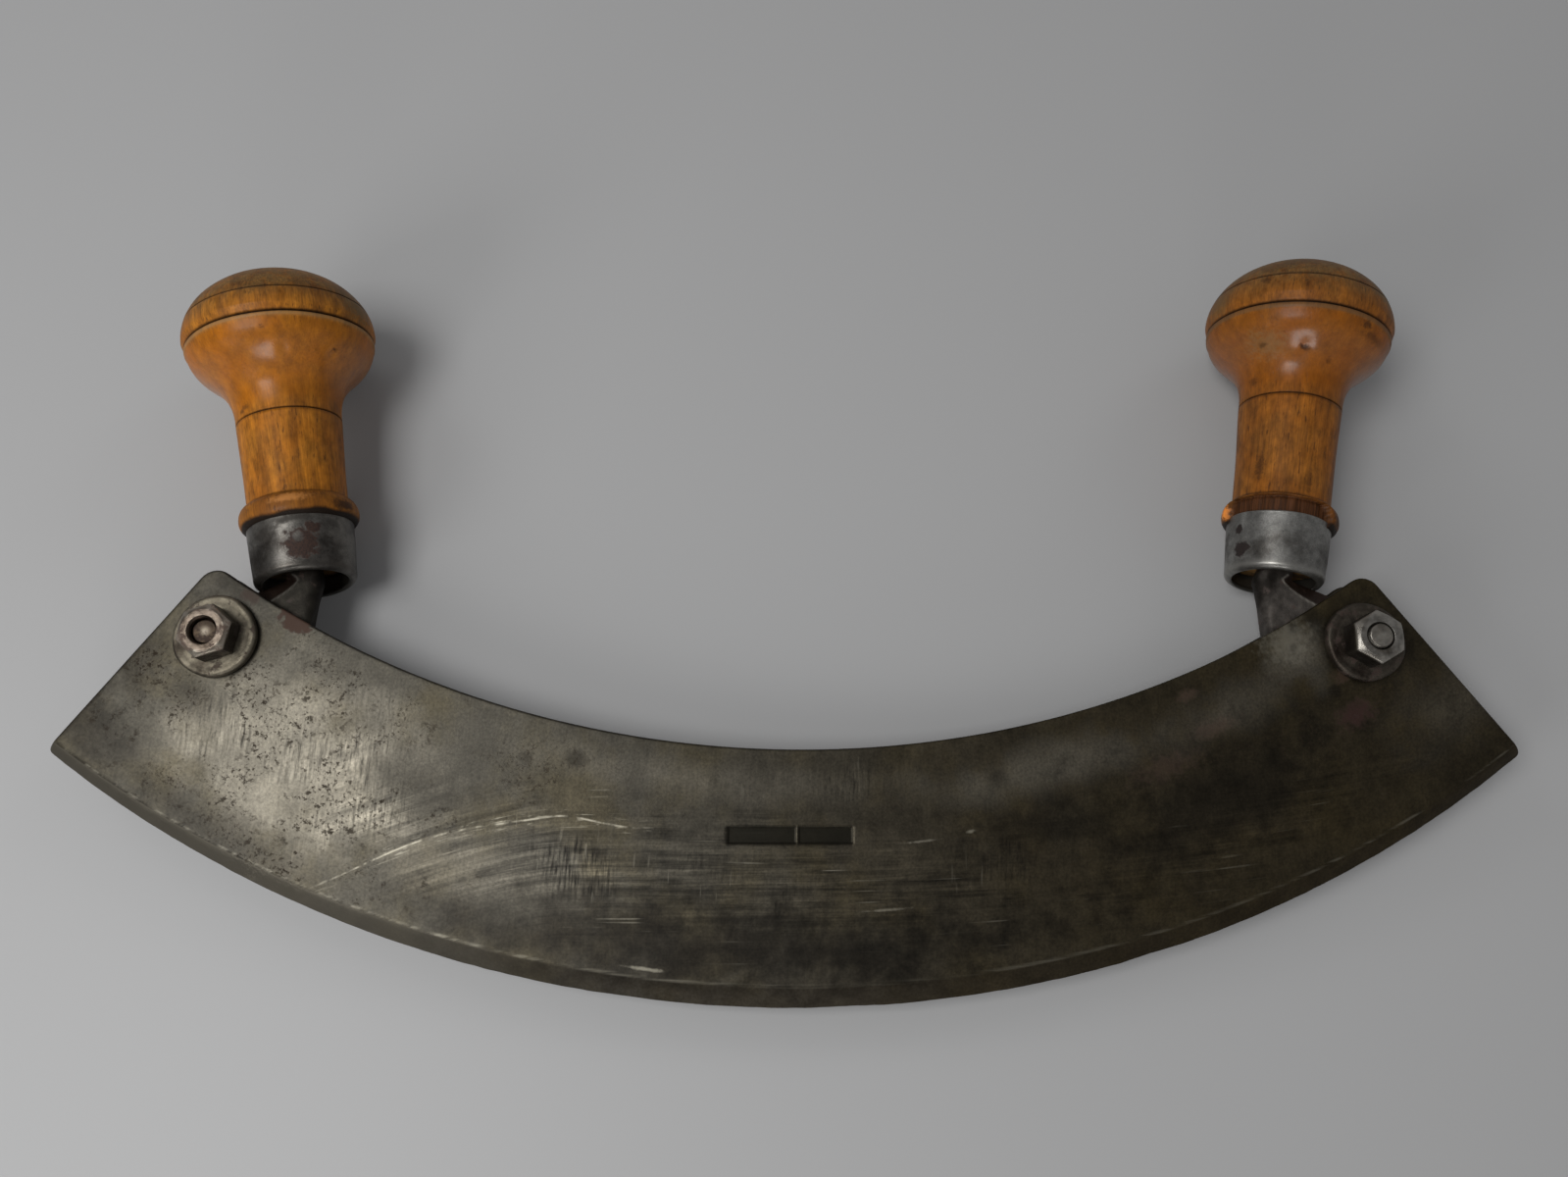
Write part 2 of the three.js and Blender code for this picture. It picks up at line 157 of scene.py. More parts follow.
def shellPiece(name, points, body, node, notes, closeRows=False):
    # grid of tool mm whose columns run round; doubles at seams and poles are merged
    rows, cols = points.shape[:2]
    index = np.arange(rows * cols).reshape(rows, cols)
    index = np.hstack([index, index[:, :1]])
    if closeRows:
        index = np.vstack([index, index[:1]])
    mesh = bpy.data.meshes.new(name)
    mesh.from_pydata(toFrame(points.reshape(-1, 3)).tolist(), [], quadsOf(index))
    for label, values in notes.items():
        layer = mesh.attributes.new(label, "FLOAT_VECTOR", "POINT")
        layer.data.foreach_set("vector", values.astype(np.float32).ravel())
    shell = bmesh.new()
    shell.from_mesh(mesh)
    bmesh.ops.remove_doubles(shell, verts=shell.verts, dist=1e-7)
    bmesh.ops.recalc_face_normals(shell, faces=shell.faces)
    shell.to_mesh(mesh)
    shell.free()
    mesh.shade_smooth()
    piece = addObject(name, mesh)
    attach(piece, body)
    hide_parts(node)
    return piece


def sidePiece(name, kind, points, body, place, wearAndShading, closeRows=False):  # of the left or right
    label = name + kind.title().replace("_", "")
    # this attribute holds wear and also the masks where shade and highlights are painted
    notes = {"place": place, "wearAndShading": wearAndShading}
    return shellPiece(label, points, body, f"{name}_{kind}", notes, closeRows)


def boreThrough(piece, side):  # the bolt's round hole along z, cut once and kept in the mesh
    corners, reach = 48, 12.0
    ring = boltPoints(tool["boltHole"], around(corners), np.zeros((1, corners)), boltCentre(side))[0]
    ends = np.vstack([ring + np.array([0, 0, z]) for z in (-reach, reach)])
    index = np.arange(corners)
    after = np.roll(index, -1)
    walls = np.stack([index, after, after + corners, index + corners], 1).tolist()
    mesh = bpy.data.meshes.new("drill")
    mesh.from_pydata(toFrame(ends).tolist(), [], walls + [index[::-1].tolist(), (index + corners).tolist()])
    drill = addObject("drill", mesh)
    cut = piece.modifiers.new("bore", "BOOLEAN")
    cut.object, cut.operation, cut.solver = drill, "DIFFERENCE", "EXACT"
    bpy.context.view_layer.update()
    bored = bpy.data.meshes.new_from_object(piece.evaluated_get(bpy.context.evaluated_depsgraph_get()))
    piece.modifiers.clear()
    old, piece.data = piece.data, bored
    bpy.data.meshes.remove(old)
    bpy.data.objects.remove(drill)
    bpy.data.meshes.remove(mesh)


# crescent blades: straight rulings between the cutting arc and the spine arc
blade = {
    "edgeRadius": 312.0, "spineRadius": 262.0, "height": 62.3, "span": 372.6,
    "endSlant": np.radians(37.2), "cornerRound": 4.6, "tipRound": 1.1,
    "bevel": 4.7, "bevelFade": 0.42,  # width of the grinding, and the share it loses at the tips
    "bevelStart": 0.12, "bevelHollow": 0.04,  # width and depth of a hollow where the grinding starts
    "edgeThickness": 0.4, "rounding": 0.45, "waviness": 0.06, "waveReach": 90,
    "nick": 0.06, "nickReach": 9, "chip": 0.4, "chipReach": 34, "chipFrom": 0.75, "nickFade": 2.5,  # wear
    "stampAcross": ((-18.1, -1.1), (-0.5, 13.0)), "stampUp": (39.0, 43.1), "stampDepth": 0.35,  # bare fields
    "columns": 392, "fineness": 2.6,  # columns stand closer at the fields, where these shares ease in and out
    "fineStart": (-0.115, -0.1), "fineStop": (0.073, 0.088),
    "rows": np.concatenate([
        [0, 0.12, 0.5, 1.2, 2.2, 3.2, 4.0, 4.35, 4.6, 5.0], np.arange(5.8, 37, 1.15),
        np.arange(37.4, 44.8, 0.3), np.arange(45.6, 61, 1.15), [61.3, 61.7, 62.0, 62.2, 62.3],
    ]),  # distance from the cutting edge
    "midRadius": 282.0,  # where marks are laid out along the arc
    "bowFrom": 58, "bowDrop": 16, "bowClimb": 0.0006, "bowReach": 200,  # bend of the scouring marks
}
tipAngle = np.arcsin(blade["span"] / 2 / blade["edgeRadius"])
bladeTip = np.array([blade["span"] / 2, blade["edgeRadius"] * (1 - np.cos(tipAngle))])
spineCentre = blade["height"] + blade["spineRadius"]
endRise = np.array([-np.sin(blade["endSlant"]), np.cos(blade["endSlant"])])
fromCentre = bladeTip - [0, spineCentre]
endFoot = fromCentre @ endRise
endHeight = -endFoot - np.sqrt(endFoot ** 2 - fromCentre @ fromCentre + blade["spineRadius"] ** 2)
cornerAngle = np.arcsin((bladeTip + endRise * endHeight)[0] / blade["spineRadius"])


def bladeFlat(s, t):  # edge arc at angle s*tip, spine arc at angle s*corner, and the share t between them
    edge = blade["edgeRadius"] * np.stack([np.sin(s * tipAngle), 1 - np.cos(s * tipAngle)], -1)
    spine = blade["spineRadius"] * np.stack([np.sin(s * cornerAngle), -np.cos(s * cornerAngle)], -1)
    spine = spine + [0, spineCentre]
    return lerp(edge, spine, t[..., None]), np.linalg.norm(spine - edge, axis=-1)


def arcPlace(x, y):  # arc length from the middle, at half height, and distance from the cutting edge
    down = blade["edgeRadius"] - y
    return np.arctan2(x, down) * blade["midRadius"], blade["edgeRadius"] - np.hypot(x, down)


def inField(x, low, high):  # 1 from low to high, with soft sides
    return ease(low - 0.3, low + 0.2, x) - ease(high - 0.2, high + 0.3, x)


def makeBlade(name, node, face, seed, stamped):  # two faces over the flat grid, ground, worn and waved
    t = (blade["rows"] / blade["height"])[:, None]
    spread = np.linspace(-1, 1, 4001)
    dense = 1 + blade["fineness"] * (ease(*blade["fineStart"], spread) - ease(*blade["fineStop"], spread))
    tally = np.cumsum(dense) - dense[0]
    s = np.interp(np.linspace(0, tally[-1], blade["columns"]), tally, spread)[1:-1]
    # at each end a few stations round the plate over, and the last folds it shut
    wide = tool["outerFace"] - tool["innerFace"]
    over = np.linspace(0, np.pi / 2, 5)
    endIn = np.append(0, blade["rounding"] * (1 - np.cos(over)))
    endThin = np.append(0, 1 - 2 * blade["rounding"] / wide * (1 - np.sin(over)))
    ends = np.ones(len(endIn))
    tuck = np.concatenate([endIn, 0 * s, endIn[::-1]])[None, :]
    thin = np.concatenate([endThin, 0 * s + 1, endThin[::-1]])[None, :]
    s = np.concatenate([-ends, s, ends])[None, :]
    inset = rounded((1 - t) * endHeight, blade["cornerRound"]) + rounded(t * endHeight, blade["tipRound"])
    half = lerp(blade["edgeRadius"] * tipAngle, blade["spineRadius"] * cornerAngle, t)
    s = s * (1 - (inset + tuck) / half)
    flat, tall = bladeFlat(s, np.broadcast_to(t, s.shape))
    fromEdge = t * tall
    x, y = flat[..., 0], flat[..., 1]
    chips = np.clip(waver(x, 0 * x, seed + 1, blade["chipReach"]) - blade["chipFrom"], 0, 1)
    nick = blade["nick"] + blade["nick"] * waver(x, y, seed, blade["nickReach"]) + blade["chip"] * chips
    lift = np.clip(1 - fromEdge / blade["nickFade"], 0, 1) * np.clip(nick, 0, 1)
    flat = flat + lift[..., None] * np.array([0, 1.0])
    ground = fromEdge / (blade["bevel"] * (1 - blade["bevelFade"] * s ** 2))  # 1 where the grinding starts
    slope = np.clip(ground, 0, 1) - blade["bevelHollow"] * hump(ground, 1, blade["bevelStart"])
    front = blade["edgeThickness"] + (wide - blade["edgeThickness"]) * slope
    worn = rounded(tall - fromEdge, blade["rounding"])
    field = 0 * x
    for span in blade["stampAcross"] if stamped else []:
        field = np.maximum(field, inField(x, *span) * inField(y, *blade["stampUp"]))
    front = front - worn - blade["stampDepth"] * field
    middle = (front + worn) / 2
    wave = blade["waviness"] * waver(x, y, seed + 2, blade["waveReach"])
    frontFace, rearFace = (middle + (side - middle) * thin + wave for side in (front, worn))
    section = np.concatenate([frontFace, rearFace[::-1]])
    flat = np.concatenate([flat, flat[::-1]])
    fromEdge = np.concatenate([fromEdge, fromEdge[::-1]])
    field, ground = np.concatenate([field, 0 * field]), np.concatenate([ground, 0 * ground + 2])
    points = np.dstack([flat, face * (tool["innerFace"] + section)])
    x, y = flat[..., 0], flat[..., 1]
    # scouring marks run level in the middle, drop away to the left and climb a little to the right
    bow = blade["bowDrop"] * (np.clip(-blade["bowFrom"] - x, 0, blade["bowReach"]) / blade["bowFrom"]) ** 1.5
    bow = bow - blade["bowClimb"] * np.clip(x, 0, blade["bowReach"]) ** 2
    notes = {"place": np.dstack([arcPlace(x, y)[0], fromEdge, section]),
             "sweep": np.dstack([x, y + bow, 0 * x]),
             "wearAndShading": np.dstack([field, np.clip(ground, 0, 2), 0 * field])}
    notes = {label: values.transpose(1, 0, 2) for label, values in notes.items()}
    piece = shellPiece(name, points.transpose(1, 0, 2), "blades", node, notes)
    for side in sides.values():
        boreThrough(piece, side)
    return piece


frontBlade = makeBlade("frontBlade", "front_blade", 1, 11, True)
rearBlade = makeBlade("rearBlade", "rear_blade", -1, 23, False)
print("blades made", len(frontBlade.data.polygons), "faces on the front one")

# turned handles: profile of radius and height above the handle's origin
handle = {
    "tenon": [  # start, end and count of lines: top and side of the shank's hole, end and side of the tenon
        ((0, 50.3), (3.2, 50.3), 3), ((3.25, 50.2), (5.0, 5.5), 8),
        ((5.2, 5.3), (11.1, 5.3), 10), ((11.29, 5.5), (11.95, 15.6), 8),
    ],
    "shoulder": 15.6, "collarRadius": 15.0, "collarUnder": 2.9, "collarTop": 3.7,
    "neckRadius": 12.6, "neckTop": 13.4, "waist": 0.15,
    "neckHold": 14.0, "rimHold": 9.8, "rimSlant": 1.3, "rimRadius": 24.2, "knobRadius": 24.8, "crown": 18.5,
    "neckGroove": (0.55, 0.4), "rimGroove": (0.8, 0.6), "crownGroove": (0.5, 0.3),  # width and depth
    "beadHeight": 0.22, "beadSoft": 0.15,  # lip under the rim
    "wobble": 0.09, "wobbleReach": 30, "columns": 200, "dentRadius": 18,
    "break": {"from": -88.0, "to": 36.0, "radius": 12.25, "top": 21.9, "soft": 1.2},  # split right collar
    "rubbed": {"angle": 5, "wide": 50, "height": 18.6, "tall": 2.0, "deep": 0.4},  # flat on the left collar
    "darkLines": [  # dark lines along the grooves and joins: where, how far above it, strength, half width
        ("neckEnd", 0, 0.9, 0.26), ("rim", 0.05, 1, 0.42),
        ("line", 0, 0.75, 0.26), ("neckStart", 0, 0.7, 0.3),
    ],
    "shadeAndDirtTo": (16.5, 17.7),  # painted shade and dirt under the collar fade between these heights
    "left": {"neck": 22.9, "flare": 22.0, "band": 2.2, "crownLine": 4.9, "bead": 0.9,
             "dents": [(18, 58.7, 1.3, 0.25), (56, 58.7, 1.0, 0.15)]},  # angle, height, width, depth
    "right": {"neck": 28.6, "flare": 21.3, "band": 2.9, "crownLine": 5.7, "bead": 1.1,
              "dents": [(-13.7, 62.2, 1.7, 0.5), (12, 60.2, 1.0, 0.2)]},
}


def grooveOf(radius, height, width, depth):  # soft V, deepest in the middle
    u = np.linspace(-1, 1, 11)
    return np.stack([radius - depth * (1 - np.abs(u) ** 1.3), height + u * width / 2], 1)


def handleHeights(name):  # each height stands on the one below
    own = handle[name]
    neckStart = handle["shoulder"] + handle["collarUnder"] + handle["collarTop"]
    neckEnd = neckStart + own["neck"]
    rim = neckEnd + own["flare"]
    widest = rim + own["band"]
    return {"neckStart": neckStart, "neckEnd": neckEnd, "rim": rim, "widest": widest,
            "line": widest + own["crownLine"]}


def handleProfile(name):  # lines, arcs, grooves and a curve, from the shank's hole round to the crown
    at = handleHeights(name)
    neckRadius, neckTop, rimRadius = handle["neckRadius"], handle["neckTop"], handle["rimRadius"]
    collar = (neckRadius, handle["shoulder"] + handle["collarUnder"])
    swell = handle["collarRadius"] - neckRadius
    lineTurn = np.degrees(np.arcsin(handle[name]["crownLine"] / handle["crown"]))
    lineHalf = np.degrees(handle["crownGroove"][0] / 2 / handle["crown"])
    lineRadius = handle["knobRadius"] * np.cos(np.radians(lineTurn))
    neckRows = 34
    neckHigh = at["neckEnd"] - handle["neckGroove"][0] / 2
    neck = lineOf((neckRadius, at["neckStart"]), (neckTop, neckHigh), neckRows)
    neck[:, 0] -= handle["waist"] * np.sin(np.linspace(0, np.pi, neckRows))
    flare = bezierOf((neckTop, at["neckEnd"] + 0.45), (neckTop, at["neckEnd"] + handle["neckHold"]),
                     (rimRadius - handle["rimSlant"], at["rim"] - handle["rimHold"]),
                     (rimRadius - 0.1, at["rim"] - 0.55), 64)
    dome = ((0, at["widest"]), (handle["knobRadius"], handle["crown"]))
    profile = np.vstack([
        *[lineOf(*part) for part in handle["tenon"]],
        arcOf(collar, (swell, handle["collarUnder"]), -90, 0, 18),
        arcOf(collar, (swell, handle["collarTop"]), 4, 88, 22),
        neck, grooveOf(neckTop, at["neckEnd"], *handle["neckGroove"]),
        flare, grooveOf(rimRadius, at["rim"], *handle["rimGroove"]),
        lineOf((rimRadius + 0.1, at["rim"] + 0.7), (handle["knobRadius"], at["widest"]), 10),
        arcOf(*dome, 1, lineTurn - lineHalf, 14),
        grooveOf(lineRadius, at["line"], *handle["crownGroove"])[1:-1],
        arcOf(*dome, lineTurn + lineHalf, 90, 44),
    ])
    profile[-1, 0] = 0
    return profile, at


def splitCollar(r, h, degrees, outer):  # cut back to bare fibres between ragged angles, below a ragged top
    broke = handle["break"]
    soft, top = broke["soft"], broke["top"]
    rough = waver(degrees, 9 * h, 31, 60)
    fromLeft = ease(-soft, soft, degrees - broke["from"] - 3 * rough)
    fromRight = ease(-soft, soft, broke["to"] - degrees + 4 * rough)
    above = ease(top - 0.15, top + 0.15, h + 0.25 * rough)
    broken = fromLeft * fromRight * (h > handle["shoulder"] - 0.2) * (1 - above) * outer
    fibre = waver(degrees * 3, 0.6 * h, 37, 22)
    bare = broke["radius"] + 0.16 * fibre - 0.25 * hump(h, top - 0.3, 0.5)
    return lerp(r, np.minimum(r, bare), broken), broken


def makeHandle(name):  # the profile carried round its axis, then worn
    profile, at = handleProfile(name)
    turn = around(handle["columns"])  # 0 faces out of the front blade
    degrees = np.degrees((turn + np.pi) % (2 * np.pi) - np.pi)
    r, h = profile[:, :1] + 0 * turn, profile[:, 1:] + 0 * turn
    hiddenRows = sum(part[-1] for part in handle["tenon"][:3])  # shank's hole and tenon's end
    outer = np.arange(len(profile))[:, None] >= hiddenRows
    wobble = waver(r * np.sin(turn), h + r * np.cos(turn), 5 + sides[name], handle["wobbleReach"])
    r = r + outer * np.clip(r / 10, 0, 1) * handle["wobble"] * wobble
    beadLow, soft = at["rim"] - 0.45 - handle[name]["bead"], handle["beadSoft"]
    lip = ease(beadLow - soft, beadLow + soft, h) * (1 - ease(at["rim"] - 0.5, at["rim"] - 0.3, h)) * outer
    r = r + handle["beadHeight"] * lip
    broken = 0 * r
    if name == "right":
        r, broken = splitCollar(r, h, degrees, outer)
    else:
        rub = handle["rubbed"]
        spread = hump(degrees, rub["angle"], rub["wide"])
        r = r - outer * rub["deep"] * spread * hump(h, rub["height"], rub["tall"])
    for angle, height, wide, deep in handle[name]["dents"]:
        off = np.hypot((degrees - angle) * np.pi / 180 * handle["dentRadius"], h - height) / wide
        r = r - outer * deep * np.exp(-off ** 2)
    points = turnedPoints(r, h, turn)
    # dark lines in the grooves and joins, then painted shade with dirt under the collar
    lines = sum(strength * hump(h, at[key] + above, half) for key, above, strength, half in handle["darkLines"])
    lines = lines + (1 - ease(*handle["shadeAndDirtTo"], h + 0.3 * waver(degrees, 9 * h, 33, 50)))
    # the second share is the bead under the rim, painted as a highlight on the left handle and as shade on
    # the right
    wearAndShading = np.dstack([np.clip(lines * outer, 0, 1), lip, broken])
    moved = handleToTool(points, name)
    return sidePiece(name, "handle", moved, f"{name}_handle_arm", points, wearAndShading)


handles = {name: makeHandle(name) for name in sides}
print("handles turned", len(handles["left"].data.polygons), "faces on the left one")

# steel ferrules: a thin wall turned about the handle axis, its lip rolled in at the mouth
ferrule = {
    "topRadius": 13.45, "mouthRadius": 12.7, "wall": 1.1, "lip": 1.7, "topRound": 0.35,
    "dent": 0.1, "dentReach": 26, "columns": 180, "tiltFade": 11,
    "left": {"mouth": 0.7, "length": 15.3, "tilt": 0.9},  # tilt lifts the front of the mouth
    "right": {"mouth": 1.2, "length": 16.1, "tilt": 0.45},  # reaches up where the collar is split
}


def makeFerrule(name):  # wall, rim and rolled lip as one closed profile, carried round
    own, lip, wall, soft = ferrule[name], ferrule["lip"], ferrule["wall"], ferrule["topRound"]
    top, mouth, long = ferrule["topRadius"], ferrule["mouthRadius"], own["length"]
    lipAt, inner = (mouth - lip, lip), lip - wall
    profile = np.vstack([
        arcOf(lipAt, (lip, lip), -82, 0, 20),
        lineOf((mouth + 0.03, lip + 0.5), (top - 0.02, long - 0.5), 24),
        arcOf((top - soft, long - soft), (soft, soft), 0, 90, 6),
        lineOf((top - wall + 0.1, long), (mouth - wall, lip), 10),
        arcOf(lipAt, (inner, inner), -8, -82, 10),
        arcOf((lipAt[0] + 0.1, wall / 2), (wall / 2, wall / 2), 100, 250, 8),
    ])
    outerRows = 52  # these face out or stand on the upper rim
    turn = around(ferrule["columns"])
    r, h = profile[:, :1] + 0 * turn, profile[:, 1:] + own["mouth"] + 0 * turn
    dents = waver(12 * np.sin(turn), h + 12 * np.cos(turn), 41 + sides[name], ferrule["dentReach"])
    r = r + ferrule["dent"] * dents
    h = h + own["tilt"] * np.cos(turn) * np.clip(1 - profile[:, 1:] / ferrule["tiltFade"], 0, 1)
    points = turnedPoints(r, h, turn)
    inside = np.arange(len(profile))[:, None] >= outerRows
    along = profile[:, 1:] + 0 * r
    # the first share marks the lip and top rim, painted as highlight on the right ferrule and as shade on the
    # left; the second marks the inner wall, painted lighter
    rub = hump(along, 1.4, 0.9) * (1 - inside) + 0.5 * hump(along, long, 0.4)
    wearAndShading = np.dstack([rub, inside + 0 * r, 0 * r])
    moved = handleToTool(points, name)
    return sidePiece(name, "ferrule", moved, f"{name}_handle_arm", points, wearAndShading, True)


ferrules = {name: makeFerrule(name) for name in sides}

# forged tangs: a section carried between two rails, from the tip of the square shank down to the bolt eye
tang = {
    "thick": 3.5, "eye": 10.5, "eyeEnd": -22.5, "footRound": 9.0, "footCurve": 0.67,
    "shankTip": 2.0, "shankLength": 50.0, "shankStart": 7, "taper": 57.0,  # start above the handle's origin
    "edge": 0.5, "footEdge": 0.3, "innerEdge": 3.2, "scoop": 5.6, "scoopDepth": 3.0, "hammering": 0.12,
    "columns": 44, "footStart": 0.36,  # share of the way along the rails
    "outerShares": [(0, 0.34, 16), (0.345, 0.45, 14), (0.455, 0.62, 16), (0.625, 0.82, 16), (0.825, 1, 26)],
    "innerShares": [(0, 0.33, 16), (0.34, 0.45, 14), (0.455, 0.6, 16), (0.6, 0.76, 16), (0.765, 0.88, 10),
                    (0.882, 1, 16)],
    "stations": [(0, 0, 1), (0, 0.34, 20), (0.345, 1, 110)],  # the first one folds the tip shut
    "left": {"footReach": -0.4, "neckIn": 4.3}, "right": {"footReach": 0.9, "neckIn": 5.4},
}


def railOf(parts, spans, at):  # a rail's points at given shares of the way along
    points, shares = np.vstack(parts), runs(spans)
    return np.stack([np.interp(at, shares, points[:, 0]), np.interp(at, shares, points[:, 1])], 1)


def tangRails(name, tipY, at):  # outer rail to the eye, inner rail down the neck and round the foot
    axis, rise = -tool["offset"][name], tool["rise"][name]
    own, tip, deep, start = tang[name], tang["shankTip"], -tang["eye"], rise + tang["shankStart"]
    eye = ((0, 0), (tang["eye"], tang["eye"]))
    outer = [lineOf((axis + tip, tipY), (axis + 3.15, start), 16),
             bezierOf((axis + 3.2, rise + 6.5), (axis + 3.6, rise + 3.6), (axis + 4.6, rise + 2.4),
                      (axis + 7, rise + 1.9), 14),
             lineOf((axis + 7.4, rise + 1.8), (axis + 15, rise + 0.2), 16),
             lineOf((axis + 15.5, rise + 0.1), arcOf(*eye, 46, 46, 1)[0], 16),
             arcOf(*eye, 45, tang["eyeEnd"], 26)]
    neck = axis - own["neckIn"]
    innerFoot = np.array([axis - own["footReach"], deep + tang["footRound"]])
    corner = np.array([innerFoot[0], deep])
    footEnd = np.array([innerFoot[0] + tang["footRound"], deep])
    inner = [lineOf((axis - tip, tipY), (axis - 3.2, start), 16),
             bezierOf((axis - 3.25, rise + 6.5), (axis - 4.2, rise + 3),
                      (neck, rise + 2.5), (neck, rise), 14),
             lineOf((neck + 0.2, rise - 0.6), innerFoot, 16),
             bezierOf(innerFoot, lerp(innerFoot, corner, tang["footCurve"]),
                      lerp(footEnd, corner, tang["footCurve"]), footEnd, 16),
             lineOf((footEnd[0] + 0.3, deep), (-0.2, deep), 10),
             arcOf(*eye, -90, tang["eyeEnd"], 16)]
    return railOf(outer, tang["outerShares"], at), railOf(inner, tang["innerShares"], at)


def makeTang(name):  # half thickness less rounded edges and the filed hollow, mirrored to both faces
    at = runs(tang["stations"])
    tipY = tool["rise"][name] + tang["shankLength"]
    railOut, railIn = tangRails(name, tipY, at)
    width = np.linalg.norm(railOut - railIn, axis=1)[:, None]
    across = (1 - np.cos(np.linspace(0, np.pi, tang["columns"])))[None, :] / 2
    shankShare = (tipY - (railOut + railIn)[:, 1:] / 2) / tang["taper"]
    thick = np.minimum(lerp(tang["shankTip"], tang["thick"], np.clip(shankShare, 0, 1)), tang["thick"])
    thick = np.where(at[:, None] > tang["footStart"], tang["thick"], thick)
    thick[0] = 0
    softer = tang["footEdge"] * ease(tang["footStart"], 0.5, at)[:, None]
    edgeIn = lerp(tang["edge"], tang["innerEdge"], hump(at, 0.48, 0.09))[:, None] + softer
    limit = 0.95 * np.maximum(thick, 0.01)
    edgeIn, edgeOut = np.minimum(edgeIn, limit), np.minimum(tang["edge"] + softer, limit)
    # a broad hollow is filed along the outer rail: depth * (1 - distance / width) ^ 0.8, crisp at the face
    cut = 0.01 + tang["scoop"] * (ease(tang["footStart"], 0.46, at) * (1 - ease(0.62, 0.76, at)))[:, None]
    fromOut = (1 - across) * width
    filed = tang["scoopDepth"] * np.clip(1 - fromOut / cut, 0, 1) ** 0.8 * np.clip(cut / 3, 0, 1)
    hollow = np.maximum(rounded(fromOut, edgeOut + 1e-6), filed)
    face = thick - rounded(across * width, edgeIn + 1e-6) - hollow
    hammered = waver(railIn[:, :1] + across * width, railIn[:, 1:], 51 + sides[name], 14)
    face = np.maximum(face, 0) - tang["hammering"] * np.clip(hammered, 0, 1) * (thick > 3)
    flat = lerp(railIn[:, None, :], railOut[:, None, :], across[..., None])
    points = np.dstack([np.concatenate([flat, flat[:, ::-1]], 1), np.concatenate([face, -face[:, ::-1]], 1)])
    place = points.copy()
    points[..., 0] *= sides[name]
    # the hollow's rim, painted bright as rubbed steel and a painted highlight
    rubbed = hump(fromOut, cut, 0.35) * (cut > 1.5)
    hollowed = ease(0, 0.4, cut - fromOut) * (cut > 1)
    rubbed, hollowed = (np.concatenate([mask, mask[:, ::-1]], 1) for mask in (rubbed, hollowed))
    wearAndShading = np.dstack([rubbed, hollowed, 0 * rubbed])
    moved = armToTool(points, name)
    piece = sidePiece(name, "tang", moved, f"{name}_handle_arm", place, wearAndShading)
    boreThrough(piece, sides[name])
    return piece


tangs = {name: makeTang(name) for name in sides}
print("ferrules and tangs made")

# bolts, nuts and washers: radius as a function of turn and height, stacked on each bolt
fastener = {
    "flats": 12.2, "faceRadius": 5.3, "chamfer": 1.0, "nutHeight": 7.0, "headHeight": 5.0, "headSharp": 40,
    "boltRadius": 3.175, "endChamfer": 0.35,
    "pitch": 1.27, "threadDepth": 0.5, "nutThread": 0.25, "threadFrom": 2.1,
    "washerRadius": 10.35, "washerThick": 2.5, "washerRound": 0.9, "boreRound": 0.3, "washerPlay": 0.15,
    "washerRing": 8.35,  # radius of the ring that the nut has pressed into it
    "nutColumns": 192, "columns": 144, "top": 6.98,  # top is just under the face of a nut
    "nutRows": [(0, 0, 3), (0.05, 0.2, 2), (0.5, 5.6, 8), (5.9, 6.98, 12), (7, 7, 9), (6.95, 6.4, 6),
                (6.3, 0.2, 44)],
    "nutShares": [(0, 0.5, 2), (0.97, 0.97, 1), (0.995, 1, 2), (1, 1, 20), (0.985, 0.05, 9), (0, 0, 50)],
    "boltShares": [(0, 0.98, 7), (1, 1, 15), (0.99, 0.55, 3), (1, 1, 108), (0.92, 0, 6)], "headRows": 25,
    # a lower cornerWear rounds the hexagon's corners more
    "left": {"proud": -1.8, "nutTurn": -12.0, "headTurn": 9.0, "cornerWear": 22.0},
    "right": {"proud": 0.4, "nutTurn": 0.0, "headTurn": -21.0, "cornerWear": 30.0},
}


def hexLimit(turn, z, height, offset, sharp):  # hexagon radius cut back by a cone at its face, both softly
    bent = (turn - offset + np.pi / 6) % (np.pi / 3) - np.pi / 6
    prism = fastener["flats"] / 2 / np.cos(bent)
    corner = fastener["flats"] / np.sqrt(3)
    cone = fastener["faceRadius"] + (height - z) * (corner - fastener["faceRadius"]) / fastener["chamfer"]
    return (prism ** -sharp + np.maximum(cone, 0.1) ** -sharp) ** (-1 / sharp)


def thread(turn, z):  # ridge of a helix: distance to the nearest crest over half the pitch
    return np.abs(((z / fastener["pitch"] - turn / (2 * np.pi)) % 1) * 2 - 1)


def uneven(r, turn, seed, reach):  # waver over a face that is square to the bolt
    return waver(r * np.cos(turn), r * np.sin(turn), seed, reach)


